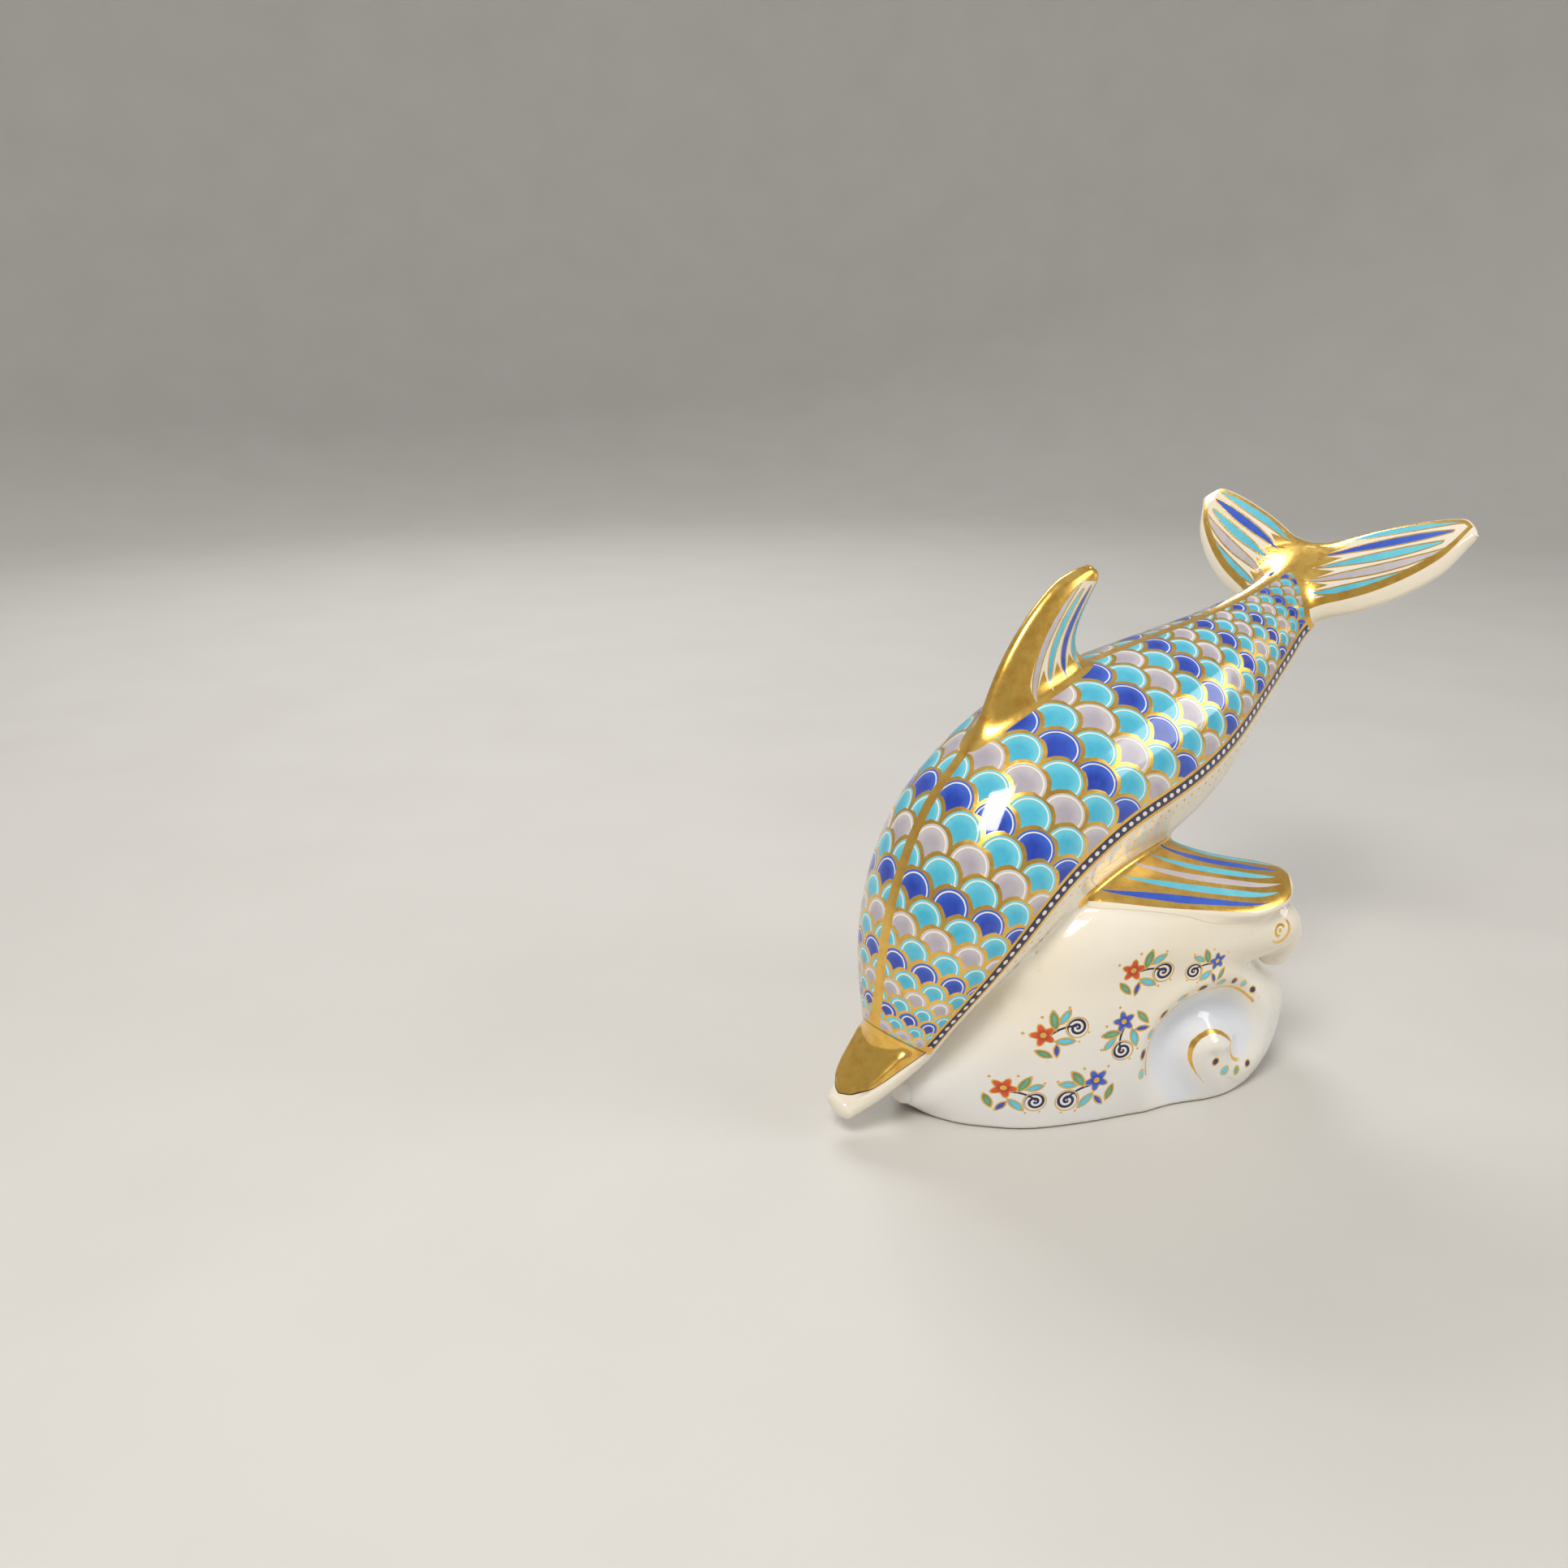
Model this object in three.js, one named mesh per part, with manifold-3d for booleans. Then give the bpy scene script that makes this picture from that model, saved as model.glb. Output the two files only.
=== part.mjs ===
// A dolphin paperweight in hollow glazed china: a dolphin dives, nose down, over a curling wave.
// The china pieces are cast apart and joined with slip before firing, and a plug closes the
// filling hole under the wave. Millimetres, +Z up, standing on Z = 0, origin under the middle.
import * as THREE from "three";
import { mergeVertices } from "three/addons/utils/BufferGeometryUtils.js";
import Module from "manifold-3d";

// ---------------------------------------------------------------- driving dimensions
// Stations are measured from the beak tip: X runs back to the tail, Y across (the dolphin's
// left side is -Y), Z up from the table.
const BEAK_TO_ORIGIN = 83.57; // beak tip to the middle of the overall length
const GAP = 0.3; // clearance between neighbouring pieces
const BODY_WALL = 3.2; // cast wall of the dolphin
const WAVE_WALL = 4.2; // cast wall of the wave
const FOOT_RECESS = 2.0; // depth of the recess inside the foot rim
const FOOT_RIM = 5.0; // width of the foot rim
const HOLE_X = 72.0; // filling hole, from the beak tip
const HOLE_RADIUS = 9.0;
const VENT_X = 60.0; // vent between the dolphin and the wave
const VENT_RADIUS = 4.5;
const FILL_TOP = 21.0; // level of the dry sand inside the wave
const TAIL_END = 14.0; // section where the tail stock ends in the flukes
const FLUKE_PITCH = 60.0; // degrees, flukes against the table
const FLUKE_ROOT = [152.0, 119.5]; // X, Z where the flukes leave the tail stock

// Sections of the dolphin: back X Z, belly X Z, half width
const BODY_RIBS = [
  [0.2, 10.6, 2.6, 4.6, 4.8],
  [4.6, 16.5, 11.5, 9.0, 8.2],
  [9.4, 21.5, 19.2, 14.0, 10.4],
  [12.8, 25.2, 24.2, 18.4, 12.0],
  [12.6, 33.0, 29.0, 26.0, 16.2],
  [13.2, 45.0, 37.0, 34.5, 21.2],
  [16.6, 62.0, 48.5, 42.5, 25.4],
  [24.6, 80.2, 61.0, 49.5, 27.2],
  [36.6, 93.6, 74.5, 55.2, 27.0],
  [52.0, 104.0, 88.5, 59.4, 26.4],
  [72.0, 110.8, 103.5, 64.4, 25.2],
  [95.0, 115.2, 119.0, 74.6, 21.8],
  [116.5, 119.0, 133.5, 88.5, 16.4],
  [135.5, 123.6, 149.5, 104.0, 11.2],
  [149.5, 129.2, 159.0, 118.5, 8.2],
  [158.0, 134.0, 163.5, 128.0, 6.4],
];
// Sections of the dorsal fin: leading X Z, trailing X Z, half thickness
const FIN_RIBS = [
  [36.0, 85.0, 80.0, 104.0, 5.4],
  [41.0, 97.5, 76.0, 112.5, 4.8],
  [46.6, 111.2, 72.6, 119.0, 3.9],
  [54.0, 123.2, 72.3, 126.0, 3.1],
  [62.8, 132.2, 74.8, 131.8, 2.4],
  [69.2, 136.2, 77.0, 134.8, 1.6],
];
// Half of the flukes: Y, leading edge, trailing edge (along the pitch), half thickness
const FLUKE_RIBS = [
  [0.0, -7.0, 15.4, 4.6],
  [6.0, -6.0, 17.6, 4.2],
  [13.0, -3.0, 21.6, 3.6],
  [21.0, 0.5, 25.2, 3.1],
  [29.0, 5.0, 27.9, 2.6],
  [36.0, 9.6, 29.2, 2.1],
  [41.0, 14.5, 29.3, 1.7],
  [44.0, 20.0, 28.0, 1.2],
];
// Left flipper: leading X Y Z, trailing X Y Z, half thickness
const FLIPPER_RIBS = [
  [52.0, -13.0, 55.0, 90.0, -4.0, 62.0, 5.0],
  [60.0, -25.0, 57.5, 96.5, -11.5, 62.5, 4.2],
  [72.0, -32.0, 56.2, 102.0, -19.5, 61.2, 3.4],
  [85.0, -38.0, 55.0, 106.8, -26.0, 59.8, 2.8],
  [97.0, -41.6, 54.4, 111.0, -31.0, 58.4, 2.3],
  [106.5, -42.0, 54.4, 114.2, -35.0, 57.2, 1.9],
  [112.0, -41.0, 54.8, 116.0, -37.8, 56.2, 1.3],
];
// Wave mound: X, bottom Z (below 0 is cut off flat), top Z, half width
const WAVE_RIBS = [
  [24.6, 5.0, 14.0, 8.0],
  [27.2, -3.0, 22.0, 14.0],
  [32.0, -11.0, 32.0, 19.5],
  [40.0, -15.0, 44.0, 24.8],
  [50.0, -17.0, 53.0, 28.8],
  [62.0, -18.0, 59.0, 33.4],
  [74.0, -18.0, 63.0, 36.4],
  [84.0, -18.0, 62.0, 38.4],
  [92.0, -18.0, 55.0, 39.6],
  [100.0, -17.0, 46.0, 40.2],
  [108.0, -13.5, 39.4, 40.0],
  [115.0, -7.0, 35.0, 38.2],
  [120.5, -0.5, 31.4, 35.8],
  [125.0, 3.6, 27.2, 33.0],
  [128.6, 9.0, 21.6, 29.8],
  [130.0, 13.2, 17.6, 26.0],
];
const WAVE_SQUARE = 0.62; // 1 is an ellipse, smaller is squarer
// Crest of the wave under the left flipper: X, Y, Z of its middle, half height, half width
const CREST_RIBS = [
  [44.0, -17.0, 42.0, 6.0, 5.0],
  [58.0, -24.0, 47.0, 8.5, 6.5],
  [74.0, -29.5, 48.0, 9.0, 7.0],
  [90.0, -34.0, 46.8, 9.0, 7.0],
  [103.0, -36.0, 45.5, 8.6, 6.6],
  [111.0, -36.2, 44.8, 8.0, 6.2],
];
// Curl that rolls over at the end of the crest: X, Y, Z of its middle, radius
const CURL_RIBS = [
  [111.4, -36.2, 44.8, 6.2],
  [113.4, -36.2, 44.8, 6.2],
  [116.4, -36.0, 41.6, 5.6],
  [116.8, -35.8, 38.0, 4.9],
  [115.6, -35.6, 35.4, 3.8],
];
// Plug in the filling hole
const PLUG_FLANGE = 12.0;
const PLUG_STEM = 7.2;
const PLUG_TOP = 9.4;

// ---------------------------------------------------------------- solids
const wasm = await Module();
wasm.setup();

const V = (x, y, z) => new THREE.Vector3(x, y, z);

function solid(geometry) {
  const g = geometry.clone();
  for (const name of Object.keys(g.attributes)) if (name !== "position") g.deleteAttribute(name);
  const m = mergeVertices(g, 1e-4);
  return new wasm.Manifold(new wasm.Mesh({
    numProp: 3,
    vertProperties: new Float32Array(m.attributes.position.array),
    triVerts: new Uint32Array(m.index.array),
  }));
}

// A closed skin over rounded sections. Each rib has two opposite edges, a and b, and a half
// width, w; grow moves the whole skin out or in, and square bends the section to a box.
function loft(ribs, { steps, around, grow = 0, square = 1, from = 0, to = 1, tip = 0.25, heel = tip }) {
  const line = (key) => new THREE.CatmullRomCurve3(ribs.map((r) => r[key]));
  const [A, B, W] = [line("a"), line("b"), line("w")];
  const bend = (v) => Math.sign(v) * Math.abs(v) ** square;
  const points = [];
  const middles = [];
  for (let i = 0; i <= steps; i++) {
    const t = from + ((to - from) * i) / steps;
    const a = A.getPoint(t), b = B.getPoint(t), w = W.getPoint(t);
    const c = a.clone().add(b).multiplyScalar(0.5);
    const up = a.clone().sub(c), out = w;
    const h = up.length() + grow, k = out.length() + grow;
    up.normalize(); out.normalize();
    middles.push({ c, reach: Math.min(h, k) });
    for (let j = 0; j < around; j++) {
      const q = (2 * Math.PI * j) / around;
      points.push(c.clone().addScaledVector(up, h * bend(Math.cos(q))).addScaledVector(out, k * bend(Math.sin(q))));
    }
  }
  const index = [];
  for (let i = 0; i < steps; i++)
    for (let j = 0; j < around; j++) {
      const n = (j + 1) % around, p = i * around, q = p + around;
      index.push(p + j, q + j, q + n, p + j, q + n, p + n);
    }
  for (const end of [0, steps]) {
    const next = end ? steps - 1 : 1;
    const dir = middles[end].c.clone().sub(middles[next].c).normalize();
    const k = points.push(middles[end].c.clone().addScaledVector(dir, (end ? tip : heel) * middles[end].reach)) - 1;
    for (let j = 0; j < around; j++) {
      const p = end * around + j, q = end * around + ((j + 1) % around);
      if (end) index.push(p, k, q); else index.push(p, q, k);
    }
  }
  const g = new THREE.BufferGeometry();
  g.setAttribute("position", new THREE.Float32BufferAttribute(points.flatMap((p) => p.toArray()), 3));
  g.setIndex(index);
  let volume = 0;
  for (let i = 0; i < index.length; i += 3) {
    const [p, q, r] = [points[index[i]], points[index[i + 1]], points[index[i + 2]]];
    volume += p.dot(q.clone().cross(r));
  }
  if (volume < 0) g.setIndex([...index].reverse());
  return solid(g);
}

const rod = (radius, z0, z1, x, y = 0, sides = 24) => {
  const g = new THREE.CylinderGeometry(radius, radius, z1 - z0, sides);
  g.rotateX(Math.PI / 2).translate(x, y, (z0 + z1) / 2);
  return solid(g);
};
const slab = (z0, z1) => {
  const g = new THREE.BoxGeometry(400, 400, z1 - z0);
  g.translate(80, 0, (z0 + z1) / 2);
  return solid(g);
};
const turned = (profile, x, sides = 28) => {
  const g = new THREE.LatheGeometry(profile.map(([r, z]) => new THREE.Vector2(r, z)), sides);
  g.rotateX(Math.PI / 2).translate(x, 0, 0);
  return g;
};
const mirrored = (s) => s.mirror([0, 1, 0]);

// ---------------------------------------------------------------- sections
const bodyRibs = BODY_RIBS.map(([xd, zd, xv, zv, w]) => ({ a: V(xd, 0, zd), b: V(xv, 0, zv), w: V(0, w, 0) }));
const finRibs = FIN_RIBS.map(([xl, zl, xt, zt, h]) => ({ a: V(xl, 0, zl), b: V(xt, 0, zt), w: V(0, h, 0) }));
const pitch = THREE.MathUtils.degToRad(FLUKE_PITCH);
const along = (y, c) => V(FLUKE_ROOT[0] + c * Math.cos(pitch), y, FLUKE_ROOT[1] + c * Math.sin(pitch));
const half = FLUKE_RIBS.map(([y, l, t, h]) => ({
  a: along(y, l), b: along(y, t), w: V(-Math.sin(pitch), 0, Math.cos(pitch)).multiplyScalar(h),
}));
const other = FLUKE_RIBS.slice(1).reverse().map(([y, l, t, h]) => ({
  a: along(-y, l), b: along(-y, t), w: V(-Math.sin(pitch), 0, Math.cos(pitch)).multiplyScalar(h),
}));
const flukeRibs = [...other, ...half];
const flipperRibs = FLIPPER_RIBS.map(([x0, y0, z0, x1, y1, z1, h], i) => {
  const mid = (r) => V((r[0] + r[3]) / 2, (r[1] + r[4]) / 2, (r[2] + r[5]) / 2);
  const span = mid(FLIPPER_RIBS[Math.min(i + 1, FLIPPER_RIBS.length - 1)]).sub(mid(FLIPPER_RIBS[Math.max(i - 1, 0)]));
  const chord = V(x1 - x0, y1 - y0, z1 - z0);
  const w = chord.cross(span).normalize();
  if (w.z < 0) w.negate();
  return { a: V(x0, y0, z0), b: V(x1, y1, z1), w: w.multiplyScalar(h) };
});
const waveRibs = (inset) => WAVE_RIBS.map(([x, z0, z1, w]) => ({ a: V(x, 0, z1 - inset), b: V(x, 0, z0 + inset), w: V(0, w - inset, 0) }));
const crestRibs = CREST_RIBS.map(([x, y, z, h, w]) => ({ a: V(x, y, z + h), b: V(x, y, z - h), w: V(0, w, 0) }));
const curlRibs = CURL_RIBS.map(([x, y, z, r], i) => {
  const p = CURL_RIBS[Math.max(i - 1, 0)], q = CURL_RIBS[Math.min(i + 1, CURL_RIBS.length - 1)];
  const n = V(-(q[2] - p[2]), 0, q[0] - p[0]).normalize().multiplyScalar(r);
  return { a: V(x, y, z).add(n), b: V(x, y, z).sub(n), w: V(0, r, 0) };
});

// ---------------------------------------------------------------- pieces
const bodyGrown = (grow) => loft(bodyRibs, { steps: 34, around: 22, grow, to: (TAIL_END + 0.1 * grow) / 15 });
const vent = rod(VENT_RADIUS, 28, 62, VENT_X, 0, 20);

const bodyHollow = loft(bodyRibs, { steps: 16, around: 14, grow: -BODY_WALL, from: 4.6 / 15, to: 12.0 / 15, tip: 0.3 });
const dolphinBody = bodyGrown(0).subtract(bodyHollow).subtract(vent);

const keepOut = bodyGrown(GAP);
const dorsalFin = loft(finRibs, { steps: 10, around: 14, tip: 0.8 }).subtract(keepOut);
const tailFlukes = loft(flukeRibs, { steps: 24, around: 12, tip: 0.8 }).subtract(keepOut);
const flipper = (grow) => loft(flipperRibs, { steps: 12, around: 12, grow, tip: 0.8 });
const leftFlipper = flipper(0).subtract(keepOut);
const rightFlipper = mirrored(leftFlipper);

// The wave: a mound with a crest along each side, hollow, on a foot rim
const above = slab(0, 200);
const crest = loft(crestRibs, { steps: 8, around: 12, tip: 0 });
const mound = loft(waveRibs(0), { steps: 24, around: 28, square: WAVE_SQUARE }).add(crest).add(mirrored(crest)).intersect(above);
const hollowOf = (inset, pull = 0) => loft(waveRibs(inset), { steps: 12, around: 18, square: WAVE_SQUARE, from: (2.4 + pull) / 15, to: (12.0 - pull) / 15, tip: 0 })
  .intersect(slab(FOOT_RECESS + inset, 200))
  .subtract(bodyGrown(GAP + inset));
const footRecess = loft(waveRibs(FOOT_RIM), { steps: 14, around: 20, square: WAVE_SQUARE, from: 2.0 / 15, to: 11.6 / 15, tip: 0 })
  .intersect(slab(-40, FOOT_RECESS));
const grownFlipper = flipper(GAP);
const waveBase = mound
  .subtract(keepOut)
  .subtract(grownFlipper).subtract(mirrored(grownFlipper))
  .subtract(hollowOf(WAVE_WALL))
  .subtract(footRecess)
  .subtract(rod(HOLE_RADIUS, -2, 12, HOLE_X, 0, 28))
  .subtract(vent);

const leftCurl = loft(curlRibs, { steps: 9, around: 12, tip: 0.5, heel: 0 })
  .subtract(grownFlipper)
  .subtract(loft(waveRibs(-GAP), { steps: 24, around: 28, square: WAVE_SQUARE }));
const rightCurl = mirrored(leftCurl);

// The plug: a shallow flanged cup, and the soft ring that grips the unglazed hole
const plugDisc = turned([
  [0, 0.5], [PLUG_FLANGE - 0.5, 0.5], [PLUG_FLANGE, 1.0], [PLUG_FLANGE, 1.6], [PLUG_STEM, 1.6], [PLUG_STEM, PLUG_TOP - 0.6],
  [PLUG_STEM - 0.6, PLUG_TOP], [PLUG_STEM - 1.8, PLUG_TOP], [PLUG_STEM - 1.8, 3.0], [0, 3.0],
], HOLE_X);
const gripRing = turned([
  [7.5, 2.3], [8.3, 2.3], [8.7, 3.4], [8.2, 4.4], [8.7, 5.4], [8.2, 7.6], [7.5, 7.6], [7.5, 2.3],
], HOLE_X);

// Dry sand lying in the wave
const sandFill = hollowOf(WAVE_WALL + 0.4, 0.1).intersect(slab(FOOT_RECESS + WAVE_WALL + 0.4, FILL_TOP)).subtract(rod(11.0, -2, 11.5, HOLE_X));

// ---------------------------------------------------------------- assembly
const china = (color, roughness = 0.18, metalness = 0) => new THREE.MeshStandardMaterial({ color, roughness, metalness });
const object = new THREE.Group();
object.position.x = -BEAK_TO_ORIGIN;

function place(name, shape, material) {
  let geometry = shape;
  if (!shape.isBufferGeometry) {
    const m = shape.getMesh();
    geometry = new THREE.BufferGeometry();
    geometry.setAttribute("position", new THREE.Float32BufferAttribute(m.vertProperties, 3));
    geometry.setIndex([...m.triVerts]);
  }
  geometry.computeVertexNormals();
  const mesh = new THREE.Mesh(geometry, material);
  mesh.name = name;
  object.add(mesh);
}

place("dolphin_body", dolphinBody, china(0x5aa9dc));
place("dorsal_fin", dorsalFin, china(0xc8962e, 0.25, 0.8));
place("tail_flukes", tailFlukes, china(0x8fd3de));
place("left_flipper", leftFlipper, china(0xcaa24a, 0.25, 0.5));
place("right_flipper", rightFlipper, china(0xcaa24a, 0.25, 0.5));
place("wave_base", waveBase, china(0xf4ecdc));
place("left_crest_curl", leftCurl, china(0xf6eedd));
place("right_crest_curl", rightCurl, china(0xf6eedd));
place("stopper_disc", plugDisc, china(0xe9e4d6, 0.5));
place("stopper_grip_ring", gripRing, china(0xd8d2c2, 0.7));
place("sand_fill", sandFill, china(0xc9b48a, 0.95));

export default object;
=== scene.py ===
"""A porcelain dolphin paperweight riding a wave: fine surfaces, enamel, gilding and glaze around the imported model.

Shapes are worked out in millimetres in a working frame: x runs from the tip of the beak towards the tail,
y to the dolphin's right, z up from the table. to_row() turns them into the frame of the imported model.
"""

import math

import bpy
import numpy as np
from mathutils import Matrix, Vector


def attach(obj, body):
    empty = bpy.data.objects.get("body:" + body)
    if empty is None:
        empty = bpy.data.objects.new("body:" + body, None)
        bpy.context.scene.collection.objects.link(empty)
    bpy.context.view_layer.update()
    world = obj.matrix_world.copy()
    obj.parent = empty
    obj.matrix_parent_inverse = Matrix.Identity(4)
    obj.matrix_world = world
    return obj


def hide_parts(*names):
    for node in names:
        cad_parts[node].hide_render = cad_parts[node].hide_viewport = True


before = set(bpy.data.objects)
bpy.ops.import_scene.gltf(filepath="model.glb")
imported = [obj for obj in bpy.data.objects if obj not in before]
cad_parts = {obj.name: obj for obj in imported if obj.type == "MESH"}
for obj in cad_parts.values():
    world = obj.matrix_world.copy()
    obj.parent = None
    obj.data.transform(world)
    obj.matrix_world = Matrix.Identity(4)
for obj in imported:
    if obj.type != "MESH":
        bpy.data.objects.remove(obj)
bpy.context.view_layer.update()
BEAK_TO_ORIGIN = 83.57

# ---------------------------------------------------------------- tables

BODY_RIBS = np.array([   # back x, z, belly x, z, half width
    [0.2, 10.6, 2.6, 4.6, 4.8], [4.6, 16.5, 11.5, 9.0, 8.2], [9.4, 21.5, 19.2, 14.0, 10.4], [12.8, 25.2, 24.2, 18.4, 12.0],
    [12.6, 33.0, 29.0, 26.0, 16.2], [13.2, 45.0, 37.0, 34.5, 21.2], [16.6, 62.0, 48.5, 42.5, 25.4], [24.6, 80.2, 61.0, 49.5, 27.2],
    [36.6, 93.6, 74.5, 55.2, 27.0], [52.0, 104.0, 88.5, 59.4, 26.4], [72.0, 110.8, 103.5, 64.4, 25.2], [95.0, 115.2, 119.0, 74.6, 21.8],
    [116.5, 119.0, 133.5, 88.5, 16.4], [135.5, 123.6, 149.5, 104.0, 11.2], [149.5, 129.2, 159.0, 118.5, 8.2], [158.0, 134.0, 163.5, 128.0, 6.4]])
BODY_END = 15.0          # the tail stock runs out inside the flukes
CREASE = 3               # the rib where the beak meets the forehead
FIN_RIBS = np.array([    # leading x, z, trailing x, z, half thickness
    [36, 85, 78, 104, 5.4], [40.2, 97.5, 73.6, 112, 4.8], [45.6, 111.2, 70.9, 118.6, 3.9],
    [53.3, 123.2, 73.2, 125.4, 3.2], [61.6, 131.6, 76.2, 130.4, 2.7], [66.6, 134.6, 77.5, 133, 2.3], [70.4, 135.9, 77.1, 134.9, 1.8],
    [72.7, 136.3, 75.6, 135.9, 1.1]])
FLUKE_RIBS = np.array([  # y, leading, trailing along the pitch, half thickness
    [0, -5.6, 17.6, 4.8], [6, -4.8, 19.2, 4.4], [13, -2.4, 22.5, 3.8], [21, 0.9, 25.8, 3.3],
    [28.6, 5.3, 28.4, 2.8], [35.2, 10.6, 30.2, 2.3], [39.8, 16.0, 30.8, 2.0], [42.6, 21.6, 30.4, 1.7]])
FLUKE_ROOT = (150.6, 119.5)
FLUKE_SPAN = 44.0
FLUKE_PITCH = math.radians(60)
FLIPPER_RIBS = np.array([  # leading x, y, z, trailing x, y, z, half thickness, left side
    [52, -13, 55, 90, -4, 62, 5.0], [60, -25, 57.3, 96.5, -11.5, 62.5, 4.2], [72, -32.4, 55.8, 102, -19.5, 61.2, 3.4],
    [85, -39, 54.2, 107.4, -25.4, 60.2, 2.8], [96.6, -43.5, 52.9, 112.8, -29.2, 59.2, 2.4], [105.4, -43.8, 52.9, 116.1, -32.2, 58.3, 2.1],
    [109.9, -42.9, 53.3, 117.1, -34.2, 57.6, 1.9], [113, -41.3, 54.1, 116.9, -36.6, 56.5, 1.5], [114.9, -39.7, 54.8, 116, -38, 55.5, 0.9]])
WAVE_RIBS = np.array([   # x, bottom z, top z, half width
    [19.6, 3.4, 11.5, 5.4], [22.6, 1.4, 16.4, 9.2], [25.6, -1.6, 21, 12], [29, -7, 27, 15.4], [33, -11.6, 34, 18.8], [40, -15, 44, 24.4], [50, -17, 53, 29.2], [62, -18, 59, 33.2],
    [74, -18, 63, 36.4], [84, -18, 62, 39.4], [92, -17, 55, 40.8], [100, -14, 46, 40.8], [108, -9.5, 39.4, 40], [115, -5, 35, 38.2],
    [120.5, 0.5, 31.4, 35.8], [125, 4.8, 27.2, 33], [128.6, 9.7, 22.1, 30]])
CREST_RIBS = np.array([  # x, y, z of the middle, half height, half width, left side
    [44, -17, 42, 6, 5], [58, -24, 47, 8.5, 6.5], [74, -29.5, 48, 9, 7], [90, -34, 46.8, 9, 7], [103, -36, 45.5, 8.6, 6.6], [111, -36.2, 44.8, 8, 6.2]])
CURL_RIBS = np.array([   # x, y, z of the middle, radius, left side
    [109.5, -36.2, 44.8, 6.3], [113.4, -36.2, 44.8, 6.3], [116.2, -36, 41.8, 5.7], [116.8, -35.8, 38.2, 4.9], [115.6, -35.6, 35.6, 4.0]])
HOLE_X, HOLE_RADIUS = 72.0, 9.0
FOOT_RECESS, FOOT_RIM, FLOOR_TOP, WAVE_WALL = 2.0, 5.0, 6.2, 4.2


# ---------------------------------------------------------------- curves and fields

class Spline:
    """A natural cubic spline through the rows of a table, at 0, 1, 2 and so on."""

    def __init__(self, rows):
        self.y = np.asarray(rows, float)
        n = len(self.y)
        lhs, rhs = np.eye(n), np.zeros_like(self.y)
        for i in range(1, n - 1):
            lhs[i, i - 1:i + 2] = 1, 4, 1
            rhs[i] = 6 * (self.y[i + 1] - 2 * self.y[i] + self.y[i - 1])
        self.m = np.linalg.solve(lhs, rhs)

    def __call__(self, t):
        t = np.asarray(t, float)
        i = np.clip(np.floor(t).astype(int), 0, len(self.y) - 2)
        f = t - i
        if self.y.ndim > 1:
            f = f[..., None]
        g = 1 - f
        return g * self.y[i] + f * self.y[i + 1] + ((g ** 3 - g) * self.m[i] + (f ** 3 - f) * self.m[i + 1]) / 6


def smooth_min(a, b, k):
    h = np.clip(1 - np.abs(a - b) / k, 0, None)
    return np.minimum(a, b) - h ** 3 * k / 6


def smooth_max(a, b, k):
    return -smooth_min(-a, -b, k)


def smoothstep(lo, hi, x):
    t = np.clip((x - lo) / (hi - lo), 0, 1)
    return t * t * (3 - 2 * t)


def along(k, values):
    i = np.clip(np.floor(k).astype(int), 0, len(values) - 2)
    f = k - i
    return values[i] * (1 - f) + values[i + 1] * f


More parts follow.
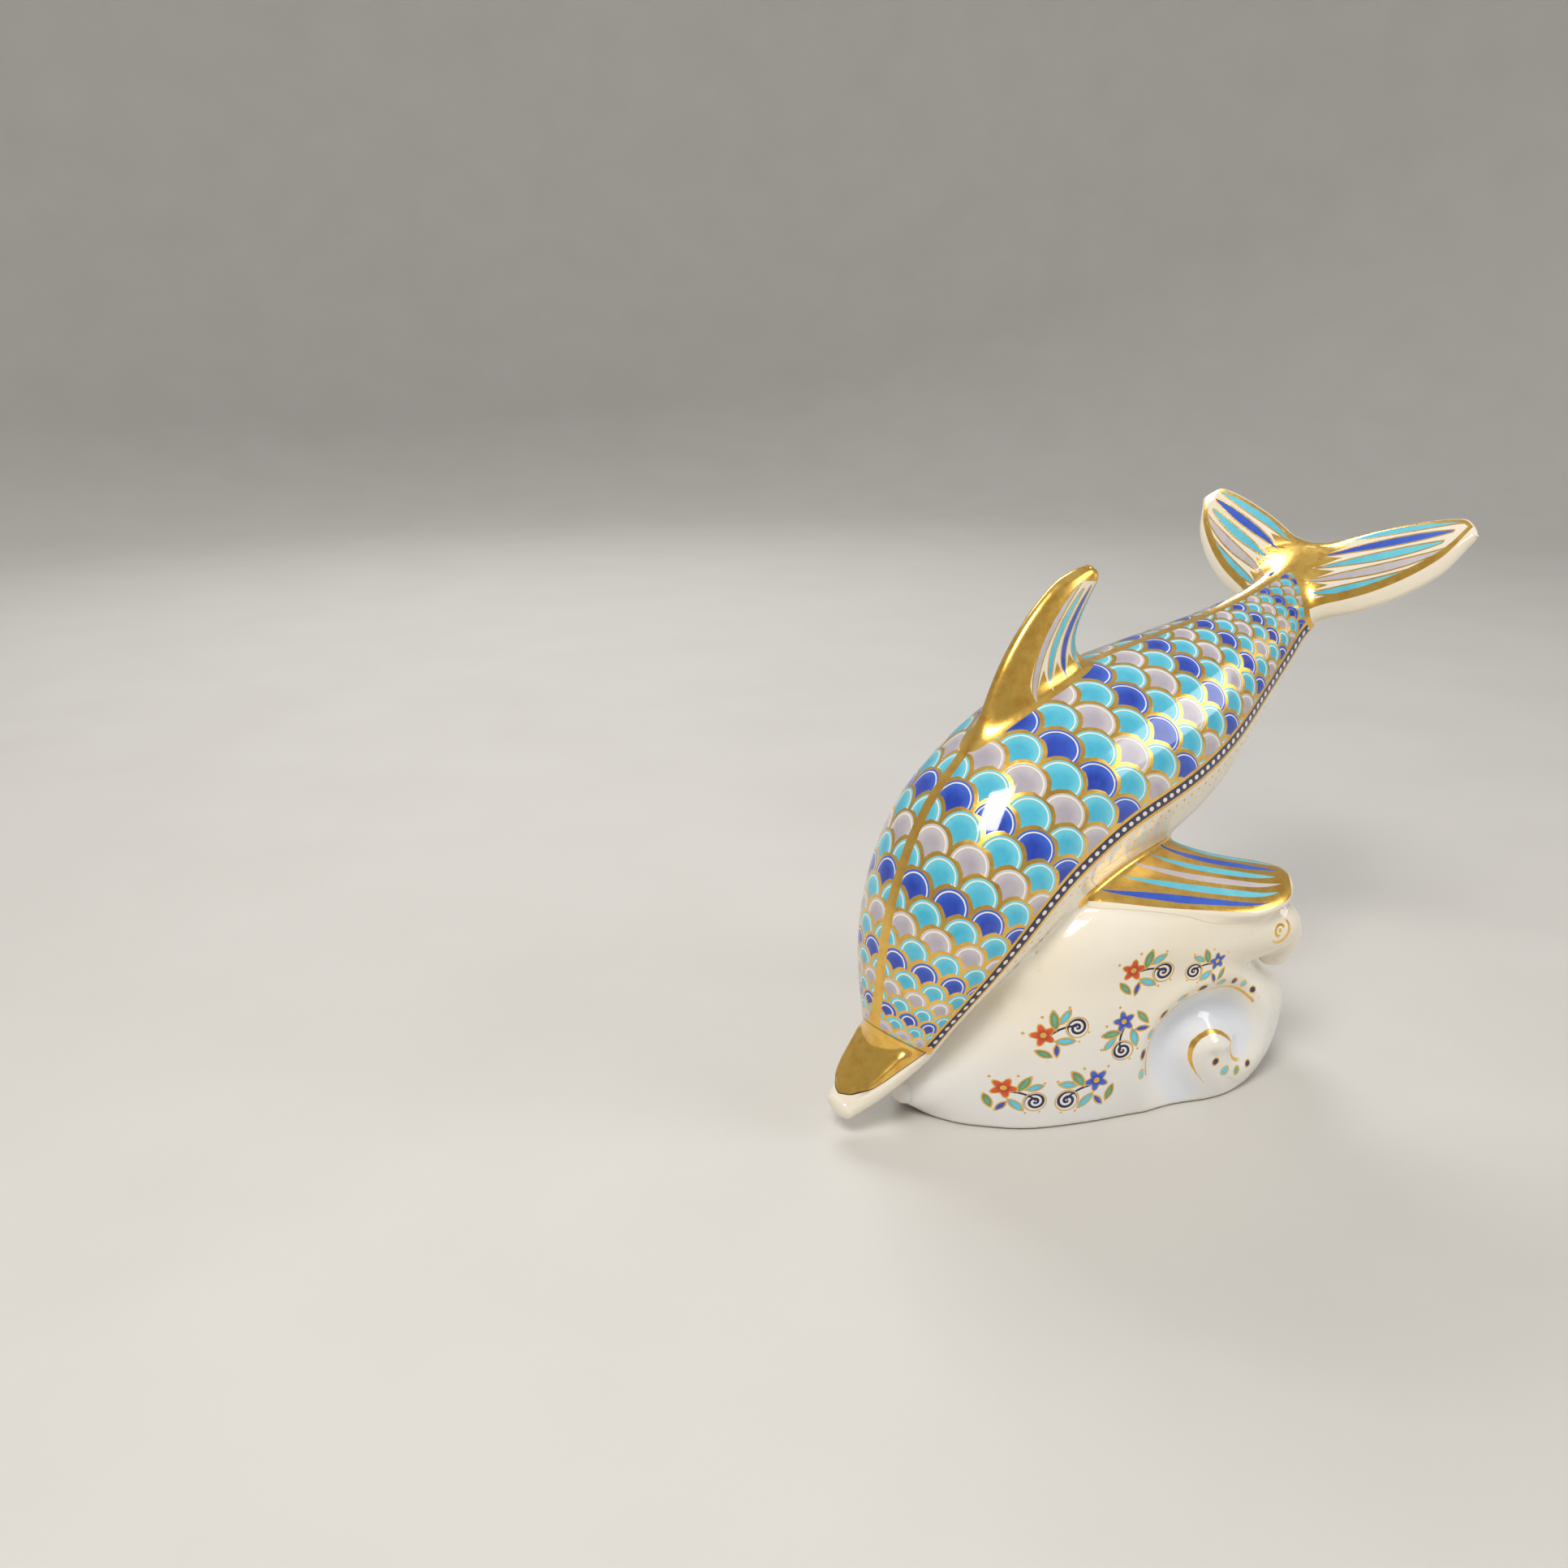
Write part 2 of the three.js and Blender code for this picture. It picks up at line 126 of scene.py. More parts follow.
class Ribs:
    """A solid skinned over ribs in one plane. Each rib runs from b to a, and is thick across the plane.

    lift is how far the rib's middle sheet stands off the plane, at a and at b."""

    def __init__(self, a, b, thick, rib, cap=(2.0, 2.0), lift=None):
        self.c, d = (a + b) / 2, (a - b) / 2
        self.h = np.hypot(d[:, 0], d[:, 1])
        self.n = d / self.h[:, None]
        self.w, self.rib, self.cap = thick, rib, cap
        tangent = np.gradient(self.c, axis=0)
        self.p = np.stack([self.n[:, 1], -self.n[:, 0]], 1)
        self.p *= np.sign((self.p * tangent).sum())
        self.lift = np.zeros((len(a), 2)) if lift is None else lift
        self.run = np.concatenate([[0], np.cumsum(np.linalg.norm(np.diff(self.c, axis=0), axis=1))])      # along the middle line

    def locate(self, x, z):
        """(sample number, place across the rib in mm, distance beyond an end) of points in the plane."""
        x, z = np.broadcast_arrays(x, z)
        shape = x.shape
        x, z = x.ravel(), z.ravel()
        k_out, m_out, a_out = np.zeros(len(x)), np.zeros(len(x)), np.zeros(len(x))
        last = len(self.c) - 1
        coarse = np.unique(np.append(np.arange(0, last, 8), last))
        cc, cp, cn, ch = self.c[coarse], self.p[coarse], self.n[coarse], self.h[coarse]
        for start in range(0, len(x), 20000):
            part = slice(start, start + 20000)
            px, pz = x[part], z[part]
            dx, dz = px[:, None] - cc[:, 0], pz[:, None] - cc[:, 1]
            g = dx * cp[:, 0] + dz * cp[:, 1]
            m = dx * cn[:, 0] + dz * cn[:, 1]
            row = np.arange(len(g))
            score = np.where((g[:, :-1] >= 0) & (g[:, 1:] < 0), np.maximum(np.abs(m[:, :-1]) - ch[:-1], 0), 1e6)
            k = score.argmin(1)
            best = score[row, k]
            # the rib just before the point, among the fine ones of this stretch
            fine = np.minimum(coarse[k][:, None] + np.arange(9), coarse[k + 1][:, None])
            gf = (px[:, None] - self.c[fine, 0]) * self.p[fine, 0] + (pz[:, None] - self.c[fine, 1]) * self.p[fine, 1]
            j = np.clip((gf >= 0).sum(1) - 1, 0, 7)
            i0, i1 = fine[row, j], fine[row, j + 1]
            g0, g1 = gf[row, j], gf[row, j + 1]
            f = np.clip(g0 / np.where(g0 - g1 > 1e-9, g0 - g1, 1), 0, 1)
            m0 = (px - self.c[i0, 0]) * self.n[i0, 0] + (pz - self.c[i0, 1]) * self.n[i0, 1]
            m1 = (px - self.c[i1, 0]) * self.n[i1, 0] + (pz - self.c[i1, 1]) * self.n[i1, 1]
            kk, mm, aa = i0 + f * (i1 - i0), m0 * (1 - f) + m1 * f, np.zeros(len(g))
            for end, c_end, over in ((0, 0, -g[:, 0]), (last, -1, g[:, -1])):
                far = np.hypot(over, np.maximum(np.abs(m[:, c_end]) - self.h[end], 0))
                use = (over >= 0) & (far < best)
                kk, mm = np.where(use, end, kk), np.where(use, m[:, c_end], mm)
                aa, best = np.where(use, over if end else -over, aa), np.where(use, far, best)
            k_out[part], m_out[part], a_out[part] = kk, mm, aa
        return k_out.reshape(shape), m_out.reshape(shape), a_out.reshape(shape)

    def radius(self, found, y):
        k, m, a = found
        u = m / along(k, self.h)
        top, foot = along(k, self.lift[:, 0]), along(k, self.lift[:, 1])
        y = y - ((top + foot) / 2 + np.clip(u, -1.3, 1.3) * (top - foot) / 2)
        return np.sqrt(u ** 2 + (y / along(k, self.w)) ** 2 + (a / np.where(a < 0, *self.cap)) ** 2)

    def distance(self, x, y, z, e=0.02):
        here = self.locate(x, z)
        r = self.radius(here, y)
        slope = ((self.radius(self.locate(x + e, z), y) - r) ** 2 + (self.radius(here, y + e) - r) ** 2
                 + (self.radius(self.locate(x, z + e), y) - r) ** 2)
        k, m, a = here
        top, foot = along(k, self.lift[:, 0]), along(k, self.lift[:, 1])
        off = np.abs(y - (top + foot) / 2 - np.clip(m / along(k, self.h), -1.3, 1.3) * (top - foot) / 2) - along(k, self.w)
        rough = np.sqrt(np.clip(np.abs(m) - along(k, self.h), 0, None) ** 2 + np.clip(off, 0, None) ** 2 + np.clip(np.abs(a) - max(self.cap), 0, None) ** 2)
        near = (r - 1) / np.maximum(np.sqrt(slope) / e, 0.012)
        return np.where(rough > 0.5, np.maximum(near, 0.7 * rough - 0.35), near)


def normalised(level, e=0.02):
    """Turns a level function into a distance that is right near its surface."""
    def distance(x, y, z):
        f = level(x, y, z)
        slope = (level(x + e, y, z) - f) ** 2 + (level(x, y + e, z) - f) ** 2 + (level(x, y, z + e) - f) ** 2
        return f / np.maximum(np.sqrt(slope) / e, 0.012)
    return distance


# the body: back and width turn a corner at the crease of the beak, the belly line doesn't
_front, _rear, _belly = Spline(BODY_RIBS[:CREASE + 1][:, [0, 1, 4]]), Spline(BODY_RIBS[CREASE:][:, [0, 1, 4]]), Spline(BODY_RIBS[:, [2, 3]])


def body_lines(t):
    t = np.asarray(t, float)
    back = np.where((t < CREASE)[:, None], _front(t), _rear(t - CREASE))
    return back[:, :2], _belly(t), back[:, 2]


_t = np.concatenate([np.linspace(0, CREASE, 90, endpoint=False), np.linspace(CREASE, BODY_END, 430)])
_a, _b, _w = body_lines(_t)
_taper = np.sqrt(1 - (np.clip(_t - 13.2, 0, None) / 1.95) ** 2)      # the tail stock runs out inside the flukes
_c, _d = (_a + _b) / 2, (_a - _b) / 2 * _taper[:, None]
BODY = Ribs(_c + _d, _c - _d, _w * _taper, _t, cap=(2.0, 2.0))
body_distance = BODY.distance

_t = np.linspace(0, 7, 224)
_s = Spline(FIN_RIBS)(_t)
FIN = Ribs(_s[:, :2], _s[:, 2:4], _s[:, 4], _t, cap=(1.0, 0.5))

_fc, _fs = math.cos(FLUKE_PITCH), math.sin(FLUKE_PITCH)


class Flukes:
    """Both tail flukes: chords along the pitch, at each distance from the middle."""

    def __init__(self):
        y = np.linspace(0, FLUKE_SPAN, 400)
        # a spline over the rib number, read off at each y
        fine = np.linspace(0, 7, 700)
        table = Spline(FLUKE_RIBS)(fine)
        rows = np.stack([np.interp(y, table[:, 0], table[:, i]) for i in range(1, 4)], 1)
        beyond = y > FLUKE_RIBS[-1, 0]
        rows[beyond, :2] += (y[beyond] - FLUKE_RIBS[-1, 0])[:, None] * np.array([1.6, -0.4])
        close = np.sqrt(np.clip(1 - (np.clip(y - FLUKE_SPAN + 5.0, 0, None) / 5.04) ** 2, 1e-3, 1))
        self.mid, self.half = (rows[:, 0] + rows[:, 1]) / 2, (rows[:, 1] - rows[:, 0]) / 2 * close
        self.thick, self.y = rows[:, 2] * np.sqrt(close), y

    def local(self, x, y, z):
        dx, dz = x - FLUKE_ROOT[0], z - FLUKE_ROOT[1]
        return dx * _fc + dz * _fs, np.sqrt(y ** 2 + 1.0) - 0.9, -dx * _fs + dz * _fc

    def chord(self, x, y, z):
        c, a, n = self.local(x, y, z)
        k = np.clip(a / self.y[-1], 0, 1) * (len(self.y) - 1)
        mid, half = along(k, self.mid), along(k, self.half)
        return c, a, n, mid, half, along(k, self.thick) * (1 - 0.2 * np.clip((c - mid) / half, -1, 1))     # thicker in front

    def level(self, x, y, z):
        c, a, n, mid, half, thick = self.chord(x, y, z)
        n = n + 0.00055 * a ** 2          # the tips droop a little
        return np.sqrt(((c - mid) / half) ** 2 + (n / thick) ** 2 + (np.clip(a - FLUKE_SPAN, 0, None) / 0.5) ** 2) - 1


FLUKES = Flukes()
_flukes_near = normalised(FLUKES.level)


def flukes_distance(x, y, z):
    c, a, n, mid, half, thick = FLUKES.chord(x, y, z)
    n = n + 0.00055 * a ** 2
    rough = np.sqrt(np.clip(np.abs(c - mid) - half, 0, None) ** 2 + np.clip(np.abs(n) - thick, 0, None) ** 2 + np.clip(a - FLUKE_SPAN, 0, None) ** 2)
    near = _flukes_near(x, y, z)
    return np.where(rough > 0.5, np.maximum(near, 0.7 * rough), near)


class Flipper:
    """One flipper, skinned in its own plane."""

    def __init__(self, side):
        t = np.linspace(0, 8, 264)
        s = Spline(FLIPPER_RIBS)(t)
        lead, trail = s[:, :3] * [1, side, 1], s[:, 3:6] * [1, side, 1]
        points = np.concatenate([lead, trail])
        self.o = points.mean(0)
        _, _, axes = np.linalg.svd(points - self.o, full_matrices=False)
        self.e1, self.e2, self.e3 = axes
        if self.e3[2] < 0:
            self.e3 = -self.e3
        self.e2 = np.cross(self.e3, self.e1)

        def flat(q):
            q = q - self.o
            return q @ self.e1, q @ self.e2, q @ self.e3
        a, b = flat(lead), flat(trail)
        self.ribs = Ribs(np.stack(a[:2], 1), np.stack(b[:2], 1), s[:, 6], t, cap=(1.0, 0.5), lift=np.stack([a[2], b[2]], 1))

    def local(self, x, y, z):
        x, y, z = np.broadcast_arrays(x, y, z)
        q = [x - self.o[0], y - self.o[1], z - self.o[2]]
        return [sum(q[i] * e[i] for i in range(3)) for e in (self.e1, self.e2, self.e3)]

    def distance(self, x, y, z):
        p, q, n = self.local(x, y, z)
        return self.ribs.distance(p, n, q)


FLIPPERS = {"left": Flipper(1), "right": Flipper(-1)}

# the wave: a mound with square shoulders, a crest along each side under the flipper, and a scroll sunk in each flank
_t = np.linspace(0, len(WAVE_RIBS) - 1, 1000)
_s = Spline(WAVE_RIBS)(_t)
BOW, STERN = WAVE_RIBS[0, 0], WAVE_RIBS[-1, 0]
BOW_CAP, STERN_CAP = 2.2, 2.4
_grid_x = np.linspace(BOW, STERN, 1300)
_mound = np.stack([np.interp(_grid_x, _s[:, 0], _s[:, i]) for i in (1, 2, 3)], 1)
_mound_mid, _mound_half, _mound_wide = (_mound[:, 0] + _mound[:, 1]) / 2, (_mound[:, 1] - _mound[:, 0]) / 2, _mound[:, 2]


def mound_section(x):
    """Half width, middle and half height of the mound. Beyond the last rib they run on with the same slope, under a cap."""
    k = np.clip((x - BOW) / (STERN - BOW), 0, 1) * (len(_grid_x) - 1)
    past = np.clip(x - STERN, 0, STERN_CAP) / (_grid_x[1] - _grid_x[0])
    return [along(k, v) + past * (v[-1] - v[-2]) for v in (_mound_wide, _mound_mid, _mound_half)]


def mound_level(x, y, z):
    wide, mid, half = mound_section(x)
    beyond = np.clip(BOW - x, 0, None) / BOW_CAP + np.clip(x - STERN, 0, None) / STERN_CAP
    m = 2.3 + 0.9 * smoothstep(26, 46, x) - 0.9 * smoothstep(120, 130, x)      # round at both ends, square in the shoulders between them
    q = (np.abs(y) / wide) ** m + (np.abs(z - mid) / half) ** m + beyond ** m
    return np.maximum(q, 1e-9) ** (1 / m) - 1


_mound_near = normalised(mound_level)


def mound_distance(x, y, z):
    wide, mid, half = mound_section(x)
    rough = np.sqrt(np.clip(np.abs(y) - wide, 0, None) ** 2 + np.clip(np.abs(z - mid) - half, 0, None) ** 2
                    + np.clip(BOW - BOW_CAP - x, 0, None) ** 2 + np.clip(x - STERN - STERN_CAP, 0, None) ** 2)
    near = _mound_near(x, y, z)
    return np.where(rough > 0.5, np.maximum(near, 0.35 * rough), near)


_t = np.linspace(0, 5, 300)
_s = Spline(CREST_RIBS)(_t)
_crest_x = np.linspace(44, 111, 400)
_crest = np.stack([np.interp(_crest_x, _s[:, 0], _s[:, i]) for i in range(1, 5)], 1)


def crest_level(x, y, z):
    k = np.clip((x - 44) / 67.0, 0, 1) * 399
    beyond = np.clip(44 - x, 0, None) / 6 + np.clip(x - 111, 0, None) / 5
    return np.sqrt(((np.abs(y) + along(k, _crest[:, 0])) / along(k, _crest[:, 3])) ** 2
                   + ((z - along(k, _crest[:, 1])) / along(k, _crest[:, 2])) ** 2 + beyond ** 2) - 1


crest_distance = normalised(crest_level)

# the scroll's valley, in the plane of the flank: middle line x, z and depth
VALLEY = np.array([[90.5, -3, 0.4], [84.5, 3, 1.4], [79.8, 9.6, 2.9], [78.6, 17, 4.2], [82.4, 23.6, 5.1], [90, 25.8, 5.5],
                   [97.4, 22.8, 5.1], [101.4, 18.2, 3.6], [101.6, 14.8, 1.8]])
VALLEY_LINE = Spline(VALLEY)(np.linspace(0, 8, 300))
_step = np.diff(VALLEY_LINE[:, :2], axis=0)
VALLEY_RUN = np.concatenate([[0], np.cumsum(np.hypot(_step[:, 0], _step[:, 1]))])
VALLEY_WAY = np.gradient(VALLEY_LINE[:, :2], axis=0)
VALLEY_WAY /= np.linalg.norm(VALLEY_WAY, axis=1)[:, None]


def valley(x, z):
    """(distance from the valley's middle line, depth there, run along it, and -1 on the tongue's side of it to 1 outside)."""
    x, z = np.broadcast_arrays(x, z)
    shape = x.shape
    x, z = x.ravel(), z.ravel()
    d, deep, run, side = np.zeros(len(x)), np.zeros(len(x)), np.zeros(len(x)), np.zeros(len(x))
    for start in range(0, len(x), 12000):
        part = slice(start, start + 12000)
        q = (x[part, None] - VALLEY_LINE[:, 0]) ** 2 + (z[part, None] - VALLEY_LINE[:, 1]) ** 2
        soft = np.exp(-(q - q.min(1)[:, None]) / 6.0)      # depth fades smoothly where two turns meet
        near = q.argmin(1)
        d[part] = np.sqrt(q.min(1))
        deep[part] = (soft * VALLEY_LINE[:, 2]).sum(1) / soft.sum(1)
        run[part] = VALLEY_RUN[near]
        cross = VALLEY_WAY[near, 0] * (z[part] - VALLEY_LINE[near, 1]) - VALLEY_WAY[near, 1] * (x[part] - VALLEY_LINE[near, 0])
        side[part] = np.clip(cross / np.maximum(d[part], 1e-6), -1, 1)
    return [v.reshape(shape) for v in (d, deep, run, side)]


def scroll_relief(x, y, z):
    d, deep, _, side = valley(x, z)
    sink = deep * np.exp(-(d / (5.7 + 1.0 * side)) ** 2) - 0.2 * deep * np.exp(-((d - 9.2 - 0.9 * side) / (3.0 + 0.4 * side)) ** 2)
    return sink * smoothstep(22, 31, np.abs(y))


def wave_distance(x, y, z):
    d = mound_distance(x, y, z) + scroll_relief(x, y, z)
    d = smooth_min(d, crest_distance(x, y, z), 9.0)
    return smooth_max(d, -z, 1.5)


_curl_line = Spline(CURL_RIBS)(np.linspace(0, 4, 70))


def curl_distance(x, y, z, side):
    out = None
    for cx, cy, cz, r in _curl_line:
        d = np.sqrt((x - cx) ** 2 + (y - side * cy) ** 2 + (z - cz) ** 2) - r
        out = d if out is None else np.minimum(out, d)
    return out


# ---------------------------------------------------------------- surfaces from fields

def surface_nets(f, lo, h):
    """A closed quad mesh of the zero level of a sampled field that is negative inside."""
    inside = f < 0
    nx, ny, nz = f.shape
    corner = [(i, j, k) for i in (0, 1) for j in (0, 1) for k in (0, 1)]
    count = sum(inside[i:nx - 1 + i, j:ny - 1 + j, k:nz - 1 + k].astype(np.int8) for i, j, k in corner)
    cell = np.argwhere((count > 0) & (count < 8))
    number = np.full((nx - 1, ny - 1, nz - 1), -1, np.int64)
    number[tuple(cell.T)] = np.arange(len(cell))
    total, hits = np.zeros((len(cell), 3)), np.zeros(len(cell))
    for a in corner:
        for axis in range(3):
            if a[axis]:
                continue
            b = list(a)
            b[axis] = 1
            fa, fb = f[tuple((cell + a).T)], f[tuple((cell + b).T)]
            cut = (fa < 0) != (fb < 0)
            s = np.where(cut, fa / np.where(cut, fa - fb, 1), 0)
            place = np.array(a, float) + s[:, None] * np.eye(3)[axis]
            total += np.where(cut[:, None], place, 0)
            hits += cut
    verts = np.asarray(lo) + h * (cell + total / hits[:, None])
    quads = []
    for axis in range(3):
        u, v = (axis + 1) % 3, (axis + 2) % 3
        low, high = [slice(None)] * 3, [slice(None)] * 3
        low[axis], high[axis] = slice(0, -1), slice(1, None)
        a, b = inside[tuple(low)], inside[tuple(high)]
        at = np.argwhere(a != b)
        at = at[(at[:, u] > 0) & (at[:, v] > 0) & (at[:, u] < f.shape[u] - 1) & (at[:, v] < f.shape[v] - 1)]
        out = a[tuple(at.T)]
        eu, ev = np.eye(3, dtype=int)[u], np.eye(3, dtype=int)[v]
        ring = np.stack([number[tuple((at - eu * du - ev * dv).T)] for du, dv in ((1, 1), (0, 1), (0, 0), (1, 0))], 1)
        quads.append(np.where(out[:, None], ring, ring[:, ::-1]))
    return verts, np.concatenate(quads)


def settle(f):
    """A copy of a sampled field that is closed at its borders, and where no four neighbours alternate, so that no two sheets share an edge."""
    f = np.array(f)
    for axis in range(3):
        for end in (0, -1):
            border = [slice(None)] * 3
            border[axis] = end
            f[tuple(border)] = np.maximum(f[tuple(border)], 0.2)
    square = np.array([(0, 0), (1, 0), (1, 1), (0, 1)])
    turned = 1
    while turned:
        turned = 0
        for axis in range(3):
            u, v = (axis + 1) % 3, (axis + 2) % 3
            inside, sides = f < 0, []
            for du, dv in square:
                part = [slice(None)] * 3
                part[u], part[v] = slice(du, f.shape[u] - 1 + du), slice(dv, f.shape[v] - 1 + dv)
                sides.append(inside[tuple(part)])
            at = np.argwhere((sides[0] == sides[2]) & (sides[1] == sides[3]) & (sides[0] != sides[1]))
            step = np.zeros((4, 3), int)
            step[:, u], step[:, v] = square.T
            corners = at[:, None, :] + step
            value = f[tuple(np.moveaxis(corners, 2, 0))]
            weakest = np.where(value < 0, value, -1e9).argmax(1)
            f[tuple(corners[np.arange(len(at)), weakest].T)] = 1e-3
            turned += len(at)
    return f


def largest_part(verts, quads):
    """Leaves out loose specks: faces belong together when they share an edge."""
    ends = np.sort(quads[:, [[0, 1], [1, 2], [2, 3], [3, 0]]], 2)
    edges = np.unique(ends[:, :, 0] * len(verts) + ends[:, :, 1], return_inverse=True)[1].reshape(-1, 4)
    label = np.arange(edges.max() + 1)
    while True:
        found = label[edges]
        low = found.min(1)
        if (found.max(1) == low).all():
            break
        for i in range(4):
            np.minimum.at(label, found[:, i], low)
        while (label[label] != label).any():
            label = label[label]
    part = label[edges[:, 0]]
    quads = quads[part == np.bincount(part).argmax()]
    used = np.unique(quads)
    number = np.zeros(len(verts), int)
    number[used] = np.arange(len(used))
    return verts[used], number[quads]


def grid(lo, hi, h):
    axes = [np.arange(a - 1.5 * h, b + 2.5 * h, h) for a, b in zip(lo, hi)]
    return axes, [axes[0][:, None, None], axes[1][None, :, None], axes[2][None, None, :]]


def gradient(field, p, e=0.03):
    f = field(*p.T)
    return f, np.stack([(field(*(p + e * np.eye(3)[i]).T) - f) / e for i in range(3)], 1)


def face_normals(verts, quads):
    """Point normals from the faces round each point."""
    flat = np.cross(verts[quads[:, 2]] - verts[quads[:, 0]], verts[quads[:, 3]] - verts[quads[:, 1]])
    out = np.zeros_like(verts)
    for i in range(4):
        for axis in range(3):
            out[:, axis] += np.bincount(quads[:, i], flat[:, axis], len(verts))
    return out / np.maximum(np.linalg.norm(out, axis=1), 1e-12)[:, None]


def field_mesh(field, lo, hi, h, seen):
    """Meshes a field and sets its points on the surface. Normals come from the seen field where that is the surface."""
    axes, xyz = grid(lo, hi, h)
    f = np.broadcast_to(field(*xyz), [len(a) for a in axes])
    verts, quads = largest_part(*surface_nets(settle(f), [a[0] for a in axes], h))
    for _ in range(2):
        value, g = gradient(field, verts)
        size = np.maximum((g ** 2).sum(1), 0.05)
        move = -(value / size)[:, None] * g
        length = np.linalg.norm(move, axis=1)
        verts = verts + move * np.minimum(1, 0.35 * h / np.maximum(length, 1e-9))[:, None]
    value, g = gradient(seen, verts)
    g /= np.maximum(np.linalg.norm(g, axis=1), 1e-9)[:, None]
    normals = np.where((np.abs(value) < 0.75)[:, None], g, face_normals(verts, quads))
    return verts, quads, normals


def to_row(p):
    return (np.asarray(p, float) - [BEAK_TO_ORIGIN, 0, 0]) / 1000.0


def piece(name, verts, quads, node, body, normals=None, values=None, ends=()):
    mesh = bpy.data.meshes.new(name)
    quads = np.asarray(quads)
    # the face order is turned so that the solid's volume is positive
    if (np.cross(verts[quads[:, 2]] - verts[quads[:, 0]], verts[quads[:, 3]] - verts[quads[:, 1]]) * verts[quads].mean(1)).sum() < 0:
        quads, ends = quads[:, ::-1], [list(e)[::-1] for e in ends]
    faces = [quads.ravel()] + [np.array(list(e)) for e in ends]
    total = np.array([4] * len(quads) + [len(e) for e in faces[1:]], np.int32)
    loops = np.concatenate(faces).astype(np.int32)
    mesh.vertices.add(len(verts))
    mesh.vertices.foreach_set("co", to_row(verts).astype(np.float32).ravel())
    mesh.loops.add(len(loops))
    mesh.loops.foreach_set("vertex_index", loops)
    mesh.polygons.add(len(total))
    mesh.polygons.foreach_set("loop_start", (np.cumsum(total) - total).astype(np.int32))
    mesh.polygons.foreach_set("loop_total", total)
    mesh.update(calc_edges=True)
    mesh.polygons.foreach_set("use_smooth", np.ones(len(total), bool))
    for key, value in (values or {}).items():
        mesh.attributes.new(key, "FLOAT", "POINT").data.foreach_set("value", np.asarray(value, np.float32))
    if normals is not None:
        mesh.normals_split_custom_set_from_vertices([tuple(n) for n in normals])
    mesh.validate()
    obj = bpy.data.objects.new(name, mesh)
    bpy.context.scene.collection.objects.link(obj)
    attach(obj, body)
    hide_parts(node)
    return obj


# ---------------------------------------------------------------- where the decoration goes on the dolphin

SCALES_ROUND = 7.0       # scales from the back to the belly
_theta = math.radians(50)
_line = np.stack([BODY.c[:, 0] + BODY.n[:, 0] * BODY.h * math.cos(_theta), BODY.w * math.sin(_theta),
                  BODY.c[:, 1] + BODY.n[:, 1] * BODY.h * math.cos(_theta)], 1)
_run = np.concatenate([[0], np.cumsum(np.linalg.norm(np.diff(_line, axis=0), axis=1))])
_mean = np.sqrt((BODY.h ** 2 + BODY.w ** 2) / 2)
HALF_GIRTH = math.pi * _mean
SCALE_SIZE = HALF_GIRTH / SCALES_ROUND
_smooth_size = np.maximum(SCALE_SIZE, 2.6)
SCALE_RUN = np.concatenate([[0], np.cumsum(np.diff(_run) / ((_smooth_size[1:] + _smooth_size[:-1]) / 2))])
CREASE_RUN = _run - _run[90]
BORDER_AT = Spline([0.19, 0.30, 0.365, 0.41, 0.45, 0.485, 0.51, 0.525, 0.532, 0.538, 0.545, 0.553, 0.562, 0.572, 0.586, 0.60])
BORDER_AT = BORDER_AT(np.interp(BODY.rib, [0, 0.35, 0.9, 1.8, 2.8, 3.8, 5, 15], [0, 1, 2, 3, 4, 5, 6, 15]))
_angle = BORDER_AT * math.pi
_line = np.stack([BODY.c[:, 0] + BODY.n[:, 0] * BODY.h * np.cos(_angle), BODY.w * np.sin(_angle),
                  BODY.c[:, 1] + BODY.n[:, 1] * BODY.h * np.cos(_angle)], 1)
BORDER_RUN = np.concatenate([[0], np.cumsum(np.linalg.norm(np.diff(_line, axis=0), axis=1))])


def dolphin_values(p, k=None, turn=None):
    """Coordinates for the decoration: scale rows and columns, the flank border, the crease, and the spine."""
    x, y, z = p.T
    if k is None:
        k, m, _ = BODY.locate(x, z)
        turn = np.arctan2(np.abs(y) / along(k, BODY.w), m / along(k, BODY.h)) / math.pi
    girth = along(k, HALF_GIRTH)
    return {"scale_col": turn * SCALES_ROUND, "scale_row": along(k, SCALE_RUN), "scale_mm": along(k, SCALE_SIZE),
            "border_mm": (turn - along(k, BORDER_AT)) * girth, "border_run": along(k, BORDER_RUN),
            "crease_mm": along(k, CREASE_RUN), "spine_mm": turn * girth}


